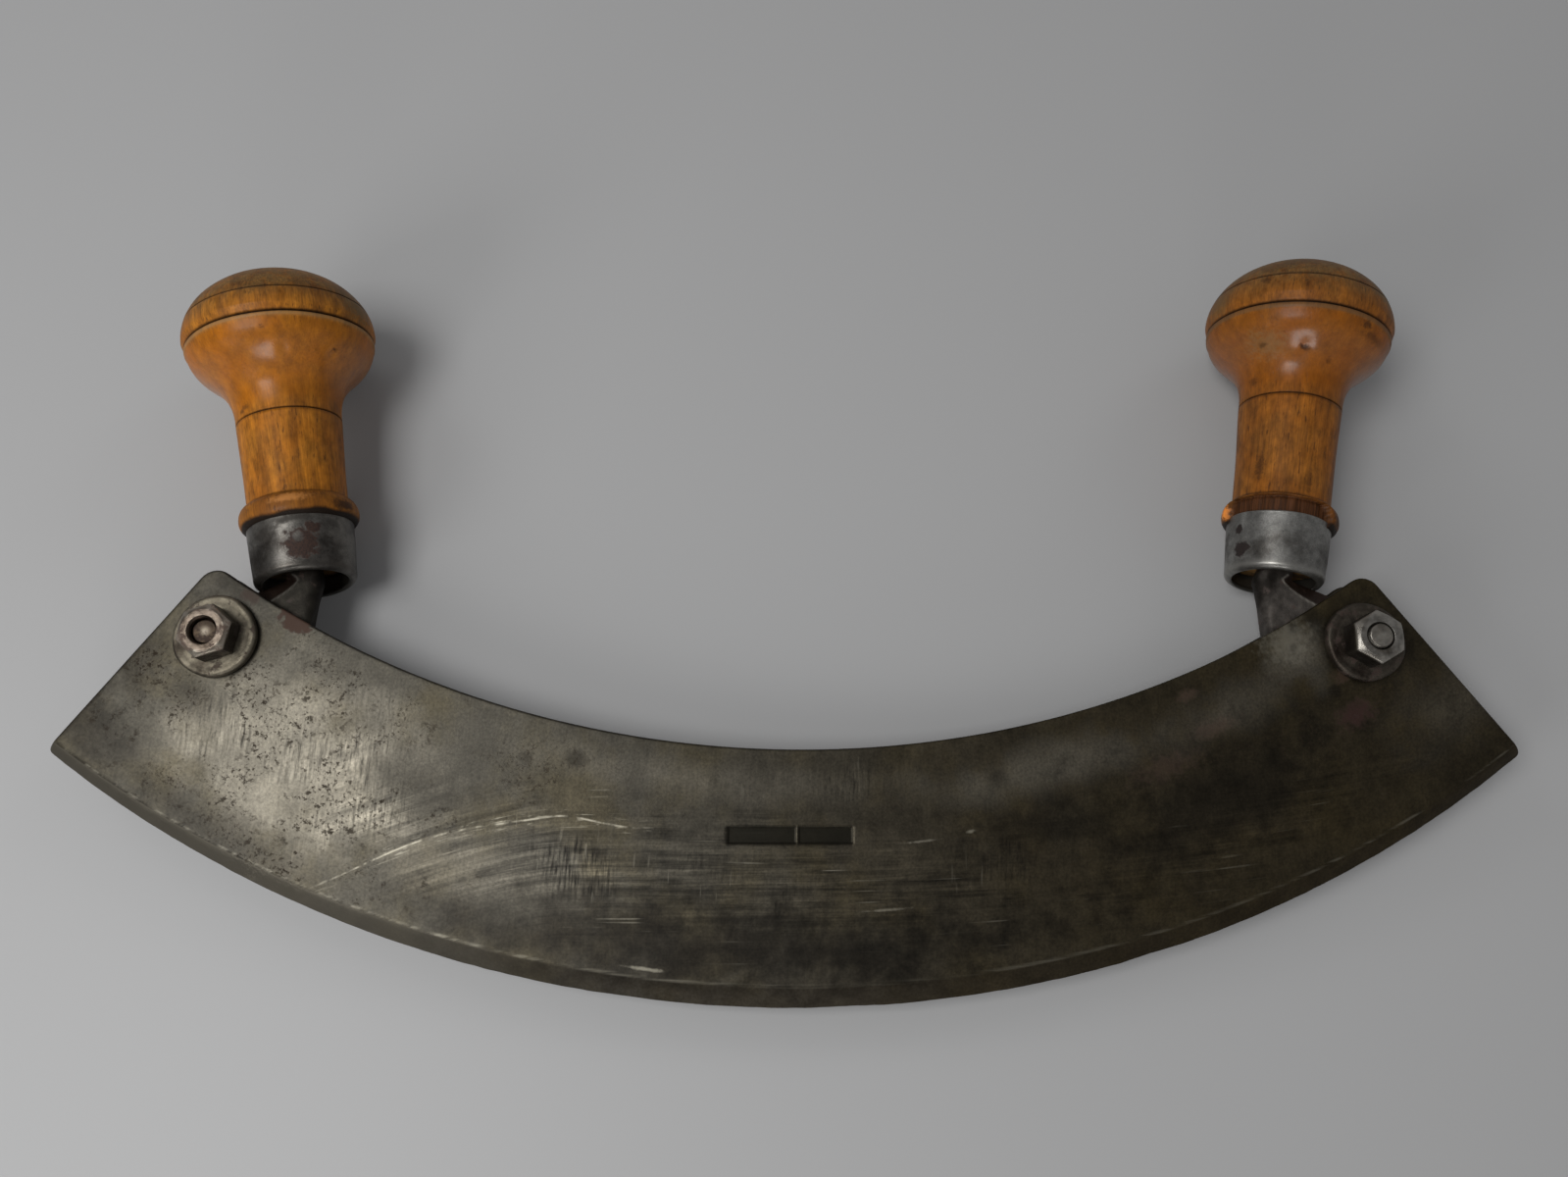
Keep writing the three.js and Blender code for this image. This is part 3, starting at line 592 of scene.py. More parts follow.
def makeNut(name):  # share 1 is the hexagon and share 0 the threaded bore
    own, turn = fastener[name], around(fastener["nutColumns"])
    z, share = runs(fastener["nutRows"])[:, None], runs(fastener["nutShares"])[:, None]
    height, offset = fastener["nutHeight"], np.radians(own["nutTurn"])
    outside = hexLimit(turn, np.minimum(z, fastener["top"]), height, offset, own["cornerWear"])
    sink = np.clip(z - 6.35, 0, 1) * 0.3
    hollow = tool["boltHole"] - 0.2 + fastener["nutThread"] * thread(turn, z) + sink
    r = lerp(hollow, outside, share)
    isFace = z > 6.9
    pressed = 0.05 * hump(r, 5.4, 0.5) * isFace
    z = z + 0 * turn - pressed + 0.04 * uneven(r, turn, 61 + sides[name], 7) * isFace
    corner = np.abs((np.degrees(turn) - own["nutTurn"]) % 60 - 30)
    edge = hump(r / np.maximum(outside, 1), 1, 0.05) * hump(corner, 0, 5)
    isSide = share > 0.9
    # the third share marks the side faces below the chamfer, where shade is painted
    wearAndShading = np.dstack([np.clip(edge + hump(z, 6.3, 0.5) * isSide, 0, 1), (share < 0.05) + 0 * r,
                      isSide * (1 - ease(5.4, 6.2, z))])
    points = boltPoints(r, turn, tool["nutSeat"] + z, boltCentre(sides[name]))
    return sidePiece(name, "nut", points, "blades", boltPoints(r, turn, z), wearAndShading, True)


def makeBolt(name):  # hexagon head behind, shank, then a thread to the end at the front
    own, turn = fastener[name], around(fastener["columns"])
    seat, height = tool["nutSeat"], fastener["headHeight"]
    radius, chamfer, back = fastener["boltRadius"], fastener["endChamfer"], -seat - height
    end = seat + fastener["nutHeight"] + own["proud"]
    z = runs([(back, back, 7), (back + 0.02, back + 1.2, 10), (-seat - 3.4, -seat, 5), (-seat, -seat, 3),
              (-seat + 0.1, 2, 12), (2.2, end - 0.6, 90), (end - 0.55, end, 6), (end, end, 6)])[:, None]
    share = runs(fastener["boltShares"])[:, None]
    headUp = np.clip(-seat - z, 0, height - 0.02)
    outside = hexLimit(turn, headUp, height, np.radians(own["headTurn"]), fastener["headSharp"])
    isHead = np.arange(len(z))[:, None] < fastener["headRows"]
    isEnd = z >= end - 1e-6
    screw = radius - fastener["threadDepth"] * thread(turn, z) * (z > fastener["threadFrom"])
    screw = np.minimum(screw, radius - np.clip(z - end + chamfer, 0, 1))
    r = share * np.where(isHead, outside, np.where(isEnd, radius - chamfer, screw))
    z = z + 0 * turn + 0.05 * uneven(r, turn, 71 + sides[name], 5) * isEnd
    sunk = own["proud"] < 0  # a centre mark shows on the sunk end, a rubbed rim on the proud one
    rub = np.where(sunk, hump(r, 0, 0.9) * (z > end - 0.2), hump(z, end - 0.2, 0.25))
    wearAndShading = np.dstack([rub, 0 * r, 0 * r])
    points = boltPoints(r, turn, z, boltCentre(sides[name]))
    return sidePiece(name, "bolt", points, "blades", boltPoints(r, turn, z), wearAndShading)


def makeWasher(name, face):  # a rounded flat ring, uneven at its rim
    wide, thick, soft = fastener["washerRadius"], fastener["washerThick"], fastener["washerRound"]
    bore, low = tool["boltHole"] + fastener["washerPlay"], soft * 0.6
    edge, ring = fastener["boreRound"], fastener["washerRing"]
    profile = np.vstack([
        lineOf((bore, 0.1), (bore, thick - edge), 3),
        arcOf((bore + edge, thick - edge), (edge, edge), 180, 90, 4),
        lineOf((bore + 0.5, thick), (wide - soft - 0.1, thick), 20),
        arcOf((wide - soft, thick - soft), (soft, soft), 90, 0, 8),
        arcOf((wide - soft, low), (soft, low), 0, -90, 5),
        lineOf((wide - soft - 0.2, 0), (bore + 0.2, 0), 8),
    ])
    turn = around(fastener["columns"])
    r, z = profile[:, :1] + 0 * turn, profile[:, 1:] + 0 * turn
    seed = 81 + sides[name] + 5 * face
    r = r + ease(6, wide, r) * 0.16 * uneven(8, turn, seed, 14)
    isFace = z > thick - 0.05
    z = z - 0.04 * hump(r, ring, 0.35) * isFace + 0.05 * uneven(r, turn, seed + 1, 9) * isFace
    wearAndShading = np.dstack([hump(r, wide - 0.2, 0.4) * (z > 1), 0.5 * hump(r, ring, 0.4) * isFace, 0 * r])
    kind = "front_washer" if face > 0 else "rear_washer"
    points = boltPoints(r, turn, face * (tool["washerSeat"] + z), boltCentre(sides[name]))
    return sidePiece(name, kind, points, "blades", boltPoints(r, turn, z), wearAndShading, True)


nuts = {name: makeNut(name) for name in sides}
bolts = {name: makeBolt(name) for name in sides}
washers = {(name, face): makeWasher(name, face) for name in sides for face in (1, -1)}
print("fasteners made")

work = {"tree": None}  # the node tree that the helpers below add to


class nodeValue:  # a node's output, for which + - and * make math nodes
    def __init__(self, socket):
        self.socket = socket

    def __add__(self, other):
        return calc("ADD", self, other)

    def __radd__(self, other):
        return calc("ADD", other, self)

    def __sub__(self, other):
        return calc("SUBTRACT", self, other)

    def __rsub__(self, other):
        return calc("SUBTRACT", other, self)

    def __mul__(self, other):
        return calc("MULTIPLY", self, other)


def srgb(red, green, blue):  # screen colour to the linear values that nodes take
    c = np.array([red, green, blue]) / 255
    return tuple(np.where(c <= 0.04045, c / 12.92, ((c + 0.055) / 1.055) ** 2.4).tolist()) + (1.0,)


def colours(table):  # srgb for every colour in a table, and in the tables in it
    return {key: colours(value) if isinstance(value, dict) else srgb(*value) for key, value in table.items()}


def feed(node, **inputs):  # each input is a value or a node's output; in0 to in9 go by place
    for key, value in inputs.items():
        byPlace = key[:2] == "in" and key[2:].isdigit()
        socket = node.inputs[int(key[2:]) if byPlace else key.replace("_", " ")]
        if isinstance(value, nodeValue):
            work["tree"].links.new(value.socket, socket)
        else:
            socket.default_value = value
    return node


def put(kind, settings=None, **inputs):
    node = work["tree"].nodes.new(kind)
    for key, value in (settings or {}).items():
        setattr(node, key, value)
    return feed(node, **inputs)


def result(node, output=0):
    return nodeValue(node.outputs[output])


def results(node):
    return {socket.name: nodeValue(socket) for socket in node.outputs}


def byPlaces(values):
    return {f"in{k}": value for k, value in enumerate(values)}


def calc(operation, *values, clamp=False):
    return result(put("ShaderNodeMath", {"operation": operation, "use_clamp": clamp}, **byPlaces(values)))


def vector(operation, *values, output=0, **named):
    return result(put("ShaderNodeVectorMath", {"operation": operation}, **byPlaces(values), **named), output)


def most(first, second):
    return calc("MAXIMUM", first, second)


def without(mask, hole):  # mask * (1 - hole)
    return mask * calc("SUBTRACT", 1.0, hole, clamp=True)


def step(value, low, high, **ends):  # 0 at low and 1 at high unless ends say otherwise, smooth between
    return result(put("ShaderNodeMapRange", {"interpolation_type": "SMOOTHSTEP"},
                      Value=value, From_Min=low, From_Max=high, **ends), "Result")


def blend(share, under, over, how="MIX"):
    settings = {"data_type": "RGBA", "blend_type": how}
    return result(put("ShaderNodeMix", settings, in0=share, in6=under, in7=over), 2)


def shade(share, under, value, low=0.3, high=0.7):  # darker where a noise is low, lighter where it is high
    spread = put("ShaderNodeMapRange", None, Value=value, From_Min=low, From_Max=high,
                 To_Min=0.08, To_Max=0.92)
    return blend(share, under, result(spread, "Result"), "OVERLAY")


def noise(place, scale, detail, rough, stretch=None):
    spot = result(put("ShaderNodeMapping", None, Vector=place, Scale=stretch)) if stretch else place
    made = put("ShaderNodeTexNoise", None, Vector=spot, Scale=scale, Detail=detail, Roughness=rough)
    return result(made, "Fac")


def attribute(label):
    return result(put("ShaderNodeAttribute", {"attribute_name": label}), "Vector")


def xyz(place):
    return results(put("ShaderNodeSeparateXYZ", None, Vector=place))


def bumped(height, strength, distance):
    return result(put("ShaderNodeBump", None, Strength=strength, Distance=distance, Height=height), "Normal")


def newGroup(name, vectors, floats, outputs):
    tree = work["tree"] = bpy.data.node_groups.new(name, "ShaderNodeTree")
    for label in vectors:
        tree.interface.new_socket(label, in_out="INPUT", socket_type="NodeSocketVector")
    for label, value in floats.items():
        tree.interface.new_socket(label, in_out="INPUT", socket_type="NodeSocketFloat").default_value = value
    for label in outputs:
        tree.interface.new_socket(label, in_out="OUTPUT", socket_type="NodeSocketFloat")
    return tree, results(tree.nodes.new("NodeGroupInput")), tree.nodes.new("NodeGroupOutput")


def use(group, **inputs):
    return results(put("ShaderNodeGroup", {"node_tree": group}, **inputs))


def spotGroup():  # mask of an oval mark: 1 inside, ragged edge from a shared noise
    vectors, floats = ["Place", "Centre", "Size"], {"Ragged": 0.5, "Soft": 0.4}
    tree, given, out = newGroup("spotMark", vectors, floats, ["Mask"])
    away = vector("DIVIDE", vector("SUBTRACT", given["Place"], given["Centre"]), given["Size"])
    far = vector("LENGTH", away, output="Value") + (given["Ragged"] - 0.5) * 1.6
    feed(out, Mask=step(far, 1.0 - given["Soft"], 1.0, To_Min=1.0, To_Max=0.0))
    return tree


def grainGroup():  # wood with its grain along y: streaks, thin fibres, short flecks, clouds and a mottle
    tree, given, out = newGroup("woodGrain", ["Place"], {}, ["Streak", "Fleck", "Cloud", "Fibre", "Mottle"])
    spot = given["Place"]
    clump = step(noise(spot, 0.2, 2, 0.5), 0.34, 0.56)
    feed(out, Streak=step(noise(spot, 0.34, 4, 0.6, (1, 0.09, 1)), 0.34, 0.66),
         Fibre=noise(spot, 2.3, 3, 0.6, (1, 0.05, 1)),
         Fleck=step(noise(spot, 1.7, 2, 0.5, (1, 0.16, 1)), 0.6, 0.7) * clump,
         Cloud=step(noise(spot, 0.085, 3, 0.55), 0.36, 0.64),
         Mottle=noise(spot, 0.42, 5, 0.65, (1, 0.6, 1)))
    return tree


def rustGroup():  # rust: patches from a slow noise, broken up by a fine one
    tree, given, out = newGroup("rustPatches", ["Place"], {"Scale": 0.2, "Amount": 0.4}, ["Mask", "Fine"])
    slow = noise(given["Place"], given["Scale"], 5, 0.65)
    fine = noise(given["Place"], 2.2, 3, 0.6)
    level = 0.78 - given["Amount"] * 0.5
    feed(out, Mask=step(slow + (fine - 0.5) * 0.22, level, level + 0.1), Fine=fine)
    return tree


def scratchGroup():  # brushed lines along y: a noise drawn out, its crests, and patches for them
    floats, outputs = {"Turn": 0.0, "Fineness": 1.0}, ["Line", "Crest", "Patch"]
    tree, given, out = newGroup("fineScratches", ["Place"], floats, outputs)
    turned = put("ShaderNodeVectorRotate", {"rotation_type": "Z_AXIS"},
                 Vector=given["Place"], Angle=given["Turn"])
    spot = vector("SCALE", result(turned), Scale=given["Fineness"])
    feed(out, Line=noise(spot, 2.6, 3, 0.6, (1, 0.035, 1)),
         Crest=step(noise(spot, 1.5, 1, 0.5, (1, 0.03, 1)), 0.67, 0.75),
         Patch=step(noise(spot, 0.07, 3, 0.55), 0.44, 0.62))
    return tree


def patinaGroup():  # old steel: slow blotches, a finer mottle, pepper speckle and clusters of small pits
    outputs = ["Blotch", "Mottle", "Speckle", "Pit"]
    tree, given, out = newGroup("steelPatina", ["Place"], {"Scale": 1.0}, outputs)
    spot = vector("SCALE", given["Place"], Scale=given["Scale"])
    cluster = step(noise(spot, 0.06, 3, 0.55), 0.4, 0.56)
    small = step(noise(spot, 1.15, 3, 0.6), 0.575, 0.67) * 0.8
    large = step(noise(spot, 0.46, 5, 0.66), 0.565, 0.645)
    feed(out, Blotch=noise(spot, 0.04, 5, 0.58), Mottle=noise(spot, 0.2, 5, 0.62),
         Speckle=noise(spot, 1.5, 3, 0.65), Pit=most(large, small) * cluster)
    return tree


spotMark, woodGrain, rustPatches = spotGroup(), grainGroup(), rustGroup()
fineScratches, steelPatina = scratchGroup(), patinaGroup()


def newMaterial(name):
    mat = bpy.data.materials.new(name)
    mat.use_nodes = True
    work["tree"] = mat.node_tree
    mat.node_tree.nodes.clear()
    shader = put("ShaderNodeBsdfPrincipled")
    put("ShaderNodeOutputMaterial", None, Surface=result(shader))
    return mat, shader, attribute("place"), xyz(attribute("wearAndShading"))


def marks(place, ragged, spots):  # strongest of several oval marks: centre, size, softness, strength
    total = None
    for centre, size, soft, strength in spots:
        oval = use(spotMark, Place=place, Centre=centre, Size=size, Ragged=ragged, Soft=soft)
        mask = oval["Mask"] * strength
        total = mask if total is None else most(total, mask)
    return total


def turnedMarks(rows):  # marks on a turned surface, from angle, height and radius
    return [((radius * np.sin(np.radians(angle)), height, radius * np.cos(np.radians(angle))),
             (wide, tall, wide), soft, strength)
            for angle, height, radius, wide, tall, soft, strength in rows]


def bladeMarks(rows):  # marks given in the tool's x and y, carried to the blade's own arc
    face, deep = 2.2, 9.0  # at the outer face, and far enough in to reach the inner one
    return [((*arcPlace(x, y), face), (wide, tall, deep), soft, strength)
            for x, y, wide, tall, soft, strength in rows]


woodLook = colours({
    "both": {"fleck": (52, 30, 14), "line": (26, 18, 12), "grime": (94, 76, 45), "faded": (118, 92, 58),
             "shadow": (62, 40, 22), "raw": (78, 46, 24), "tenon": (138, 104, 60), "soot": (46, 35, 25)},
    "left": {"light": (158, 101, 31), "deep": (119, 74, 27), "amber": (148, 84, 8), "bead": (142, 112, 74),
             "fresh": (176, 118, 62)},
    # the right handle's colours are darker than the left's: partly its own wood, partly painted shade
    "right": {"light": (128, 79, 26), "deep": (104, 64, 25), "amber": (122, 66, 8), "bead": (92, 70, 46),
              "fresh": (210, 128, 56)},
})
woodMarks = {  # angle, height, radius, width, height of the mark, softness, strength
    "left": {
        "spot": [(56.5, 58.7, 20.7, 1.4, 1.4, 0.6, 1.0), (5, 63, 23.9, 1.4, 1.2, 0.7, 0.7),
                 (-17.4, 63, 23.9, 0.9, 0.9, 0.7, 0.6), (18, 58.7, 20.8, 1.6, 1.1, 0.8, 0.6),
                 (-33.5, 47.5, 13.5, 1.6, 1.1, 0.8, 0.5), (-40, 46.7, 13.4, 1.4, 0.9, 0.8, 0.6),
                 (42, 58.3, 20.2, 1.1, 1.3, 0.8, 0.5), (66, 18.4, 14.6, 5, 2.2, 0.8, 0.9)],
        "faded": [(-62, 32, 13, 4, 9, 0.95, 0.35)],
        "grimed": [(-78, 72, 24.6, 9, 6, 0.95, 0.75), (72, 72, 24.6, 9, 6, 0.95, 0.85)],
        "fresh": [(8, 20.2, 14.4, 7, 1.4, 0.8, 0.75)],
    },
    "right": {
        "spot": [(-13.7, 62.2, 17.8, 1.9, 0.9, 0.6, 0.9), (-49, 62.8, 18.6, 1.9, 1.2, 0.8, 0.6),
                 (-68, 55, 13.7, 2.2, 1.9, 0.9, 0.55), (25, 69.5, 24.1, 2.6, 1.6, 0.8, 0.8),
                 (-42.5, 78.8, 24.3, 1.9, 1.5, 0.8, 0.7), (-17.7, 77.2, 24.6, 0.9, 1.6, 0.8, 0.5),
                 (12.3, 60.2, 15.9, 1.3, 0.8, 0.8, 0.5), (-50, 30, 12.7, 2.0, 5.0, 0.9, 0.7),
                 (10, 27, 12.6, 1.2, 5.0, 0.9, 0.6), (36, 67.5, 22.5, 7, 1.6, 0.9, 0.55),
                 (60, 18.6, 14.8, 7, 3, 0.8, 0.8)],
        "faded": [(-45, 63, 18.6, 8, 5, 0.95, 0.55)],
        "grimed": [(-80, 76, 24.6, 8, 6, 0.95, 0.55), (40, 81, 23, 9, 5, 0.95, 0.6)],
        "fresh": [(-95, 18.6, 15, 2.6, 2.6, 0.5, 1.0)],
    },
}


def varnishedWood(name):  # grain under amber varnish, then dirt, painted shade, marks, lines and bare wood, with painted light and shade on the bead and in the ferrule's mouth
    mat, shader, place, wearAndShading = newMaterial(f"varnishedWood_{name}")
    at, look = handleHeights(name), {**woodLook["both"], **woodLook[name]}
    ragged = noise(place, 0.9, 3, 0.6)
    spot, faded, grimed, fresh = (marks(place, ragged, turnedMarks(woodMarks[name][key]))
                                  for key in ("spot", "faded", "grimed", "fresh"))
    otherTree = 40.0 if name == "right" else 0.0  # moves the grain so that the handles differ
    grain = use(woodGrain, Place=vector("ADD", place, (0, 0, otherTree)))
    height = xyz(place)["Y"]
    neckEnd, rim, neckStart, shoulder = at["neckEnd"], at["rim"], at["neckStart"], handle["shoulder"]
    onFlare = step(height, neckEnd, neckEnd + 5) * step(height, rim - 0.6, rim - 2.6)
    onCrown = step(height, rim + 0.3, at["line"] + 3)
    onCollar = step(height, shoulder, shoulder + 2) * step(height, neckStart + 0.6, neckStart - 1)
    inTenon = step(height, shoulder - 0.3, shoulder - 0.6)
    colour = blend(grain["Streak"], look["deep"], look["light"])
    colour = blend(grain["Cloud"] * 0.4 + onFlare * 0.42, colour, look["amber"])
    colour = shade(0.42 - onFlare * 0.18, colour, grain["Mottle"])
    colour = shade(0.32 - onFlare * 0.18, colour, grain["Fibre"])
    colour = blend(grain["Fleck"] * (0.6 - onFlare * 0.42), colour, look["fleck"])
    colour = blend(onCrown * step(grain["Mottle"], 0.25, 0.6) * 0.78, colour, look["grime"])
    colour = blend(onCrown * step(noise(place, 0.14, 4, 0.65), 0.46, 0.62) * 0.42, colour, look["shadow"])
    colour = shade(onCrown * 0.3, colour, grain["Fibre"])
    colour = blend(faded, colour, look["faded"])
    # painted shade over the collar
    colour = blend(onCollar * 0.45, colour, look["shadow"])
    colour = blend(grimed, colour, look["grime"])
    colour = blend(spot, colour, look["fleck"])
    colour = blend(fresh, colour, look["fresh"])
    # the bead: painted highlight on the left handle, painted shade on the right
    colour = blend(wearAndShading["Y"] * 0.6, colour, look["bead"])
    # dark lines in the grooves, and painted shade with dirt under the collar
    colour = blend(without(wearAndShading["X"], fresh), colour, look["line"])
    bare = blend(step(grain["Fibre"], 0.35, 0.65), look["fleck"], look["raw"])
    colour = blend(wearAndShading["Z"], colour, bare)
    # inside the ferrule's mouth: lighter patches are painted light, darker patches painted shade
    tenon = blend(step(noise(place, 0.3, 4, 0.6), 0.3, 0.75), look["soot"], look["tenon"])
    colour = blend(inTenon, colour, tenon)
    polish = step(height, neckEnd + 4, neckEnd + 12) * step(height, rim - 2.5, rim - 8)
    gloss = 0.05 + polish * (0.38 + ragged * 0.5)  # hands have polished the middle of the flare
    gloss = without(gloss, most(most(wearAndShading["X"], wearAndShading["Z"]), spot))
    rough = 0.42 + ragged * 0.2 + onFlare * -0.14
    relief = grain["Fibre"] * 0.5 + grain["Mottle"] * 0.5 - most(spot, grain["Fleck"]) * 0.6
    feed(shader, Base_Color=colour, Roughness=rough, Specular_IOR_Level=0.14, Coat_Weight=gloss,
         Coat_Roughness=0.2, Normal=bumped(relief, 0.25, 0.0003))
    return mat


bladeLook = colours({
    "dark": (28, 25, 20), "mid": (63, 60, 53), "pale": (108, 103, 92), "brown": (48, 38, 28),
    "soot": (24, 21, 17), "rust": (64, 45, 34), "redRust": (46, 24, 18), "glint": (184, 178, 160),
    "stamp": (24, 22, 15), "film": (57, 51, 35), "umber": (55, 46, 26),
})
bladeSpots = {  # x, y, width, height, softness, strength
    "front": {
        # pale patches are lighter steel, partly a painted sheen where the lamp's reflection is weak
        "pale": [(-126, 60, 46, 30, 0.9, 1.0), (-84, 34, 40, 12, 0.95, 0.35), (130, 86, 15, 12, 0.9, 0.9),
                 (-20, 54, 80, 7, 0.95, 0.3), (64, 58, 54, 9, 0.95, 0.6), (112, 73, 34, 9, 0.95, 0.5),
                 (170, 74, 24, 16, 0.95, 0.35)],
        "pitted": [(-128, 62, 66, 44, 0.8, 1.0), (-66, 56, 40, 14, 0.9, 0.5), (130, 70, 60, 30, 0.9, 0.7)],
        "dark": [(-178, 68, 24, 14, 0.9, 0.9), (-168, 84, 16, 14, 0.9, 0.8), (-152, 76, 14, 8, 0.9, 0.7),
                 (-150, 46, 46, 9, 0.9, 0.7), (-144, 104, 14, 5, 0.9, 0.6), (-92, 52, 28, 9, 0.95, 0.35),
                 (-26, 15, 72, 16, 0.9, 1.0), (-70, 18, 40, 10, 0.9, 0.8), (176, 66, 30, 18, 0.9, 0.25),
                 (4, 13, 74, 12, 0.95, 1.0), (105, 50, 60, 22, 0.9, 0.7), (60, 42, 34, 12, 0.95, 0.6),
                 (-49.3, 36.5, 2.2, 2.2, 0.7, 0.7), (-50.3, 29, 2.2, 2.2, 0.7, 0.6),
                 (-56.1, 59.5, 4, 2.6, 0.8, 0.7), (-68.3, 60, 3, 2, 0.8, 0.6),
                 (128.7, 89, 2.4, 1.8, 0.8, 0.8), (129.1, 93.7, 3, 2.2, 0.8, 0.9),
                 (138.7, 77.7, 3, 2.4, 0.8, 0.8), (-147, 90, 15, 14, 0.6, 0.75),
                 (147, 90, 16, 15, 0.7, 0.7), (49.4, 55.6, 4.5, 4, 0.8, 0.6), (135, 97, 4, 4, 0.8, 0.7)],
        "rust": [(-128.2, 94.4, 5.8, 2.7, 0.3, 1.0), (-140, 101, 4, 2.4, 0.8, 0.5), (141, 82, 4, 3, 0.8, 0.6),
                 (99.7, 76.4, 5, 2.2, 0.8, 0.5), (106, 68, 10, 3.5, 0.9, 0.5), (93, 58, 14, 5, 0.95, 0.4)],
        "redRust": [(143.5, 71.6, 8, 4.6, 0.8, 0.9)],
        # glint spots are painted highlights
        "glint": [(127, 91, 11, 8, 0.95, 0.3), (-38, 9.4, 6, 0.6, 0.9, 0.35), (30, 39.5, 6, 0.45, 0.9, 0.3),
                  (42.5, 41.9, 1.6, 0.6, 0.8, 0.35), (21, 23, 7, 0.45, 0.9, 0.25)],
        "hatched": [(-45, 33, 58, 11, 0.9, 1.0), (0, 54, 40, 7, 0.9, 0.8), (-124, 58, 52, 26, 0.9, 0.7),
                    (48, 32, 18, 9, 0.9, 0.7)],
        "scoured": [(-30, 28, 116, 24, 0.8, 1.0), (110, 40, 60, 14, 0.9, 0.7)],
    },
    "rear": {
        "pale": [(-60, 30, 60, 20, 0.95, 0.7), (90, 52, 50, 24, 0.95, 0.6)],
        "pitted": [(-110, 56, 70, 40, 0.9, 0.9), (110, 60, 60, 36, 0.9, 0.9)],
        "dark": [(-170, 72, 22, 18, 0.9, 0.9), (172, 70, 24, 18, 0.9, 0.9), (10, 16, 60, 12, 0.95, 0.8),
                 (-20, 46, 30, 10, 0.9, 0.6)],
        "rust": [(120, 70, 9, 6, 0.8, 0.8), (-100, 50, 7, 5, 0.8, 0.7)],
        "redRust": [(147, 90, 13, 13, 0.5, 0.4)],
        "hatched": [(40, 34, 50, 10, 0.9, 1.0), (-120, 60, 40, 20, 0.9, 0.7)],
        "scoured": [(0, 28, 120, 24, 0.8, 1.0)],
    },
}


def longScratch(sweep):  # bright line at y = 46.6 - 4.5 step(x) + 0.8 sin(0.12 x), broken by noise
    at = xyz(sweep)
    x, y = at["X"], at["Y"]
    wave = calc("SINE", x * 0.12) * 0.8
    middle = 46.6 - step(x, -62, -40) * 4.5 + wave
    off = calc("ABSOLUTE", y - middle)
    strands = step(noise(sweep, 1.6, 2, 0.5, (0.12, 1, 1)), 0.56, 0.66) * step(off, 2.4, 0.6) * 0.7
    line = most(step(off, 0.36, 0.08), strands)
    reach = step(x, -122, -108) * step(x, -34, -44)
    return line * reach * step(noise(sweep, 0.22, 3, 0.6), 0.38, 0.6) * 0.45


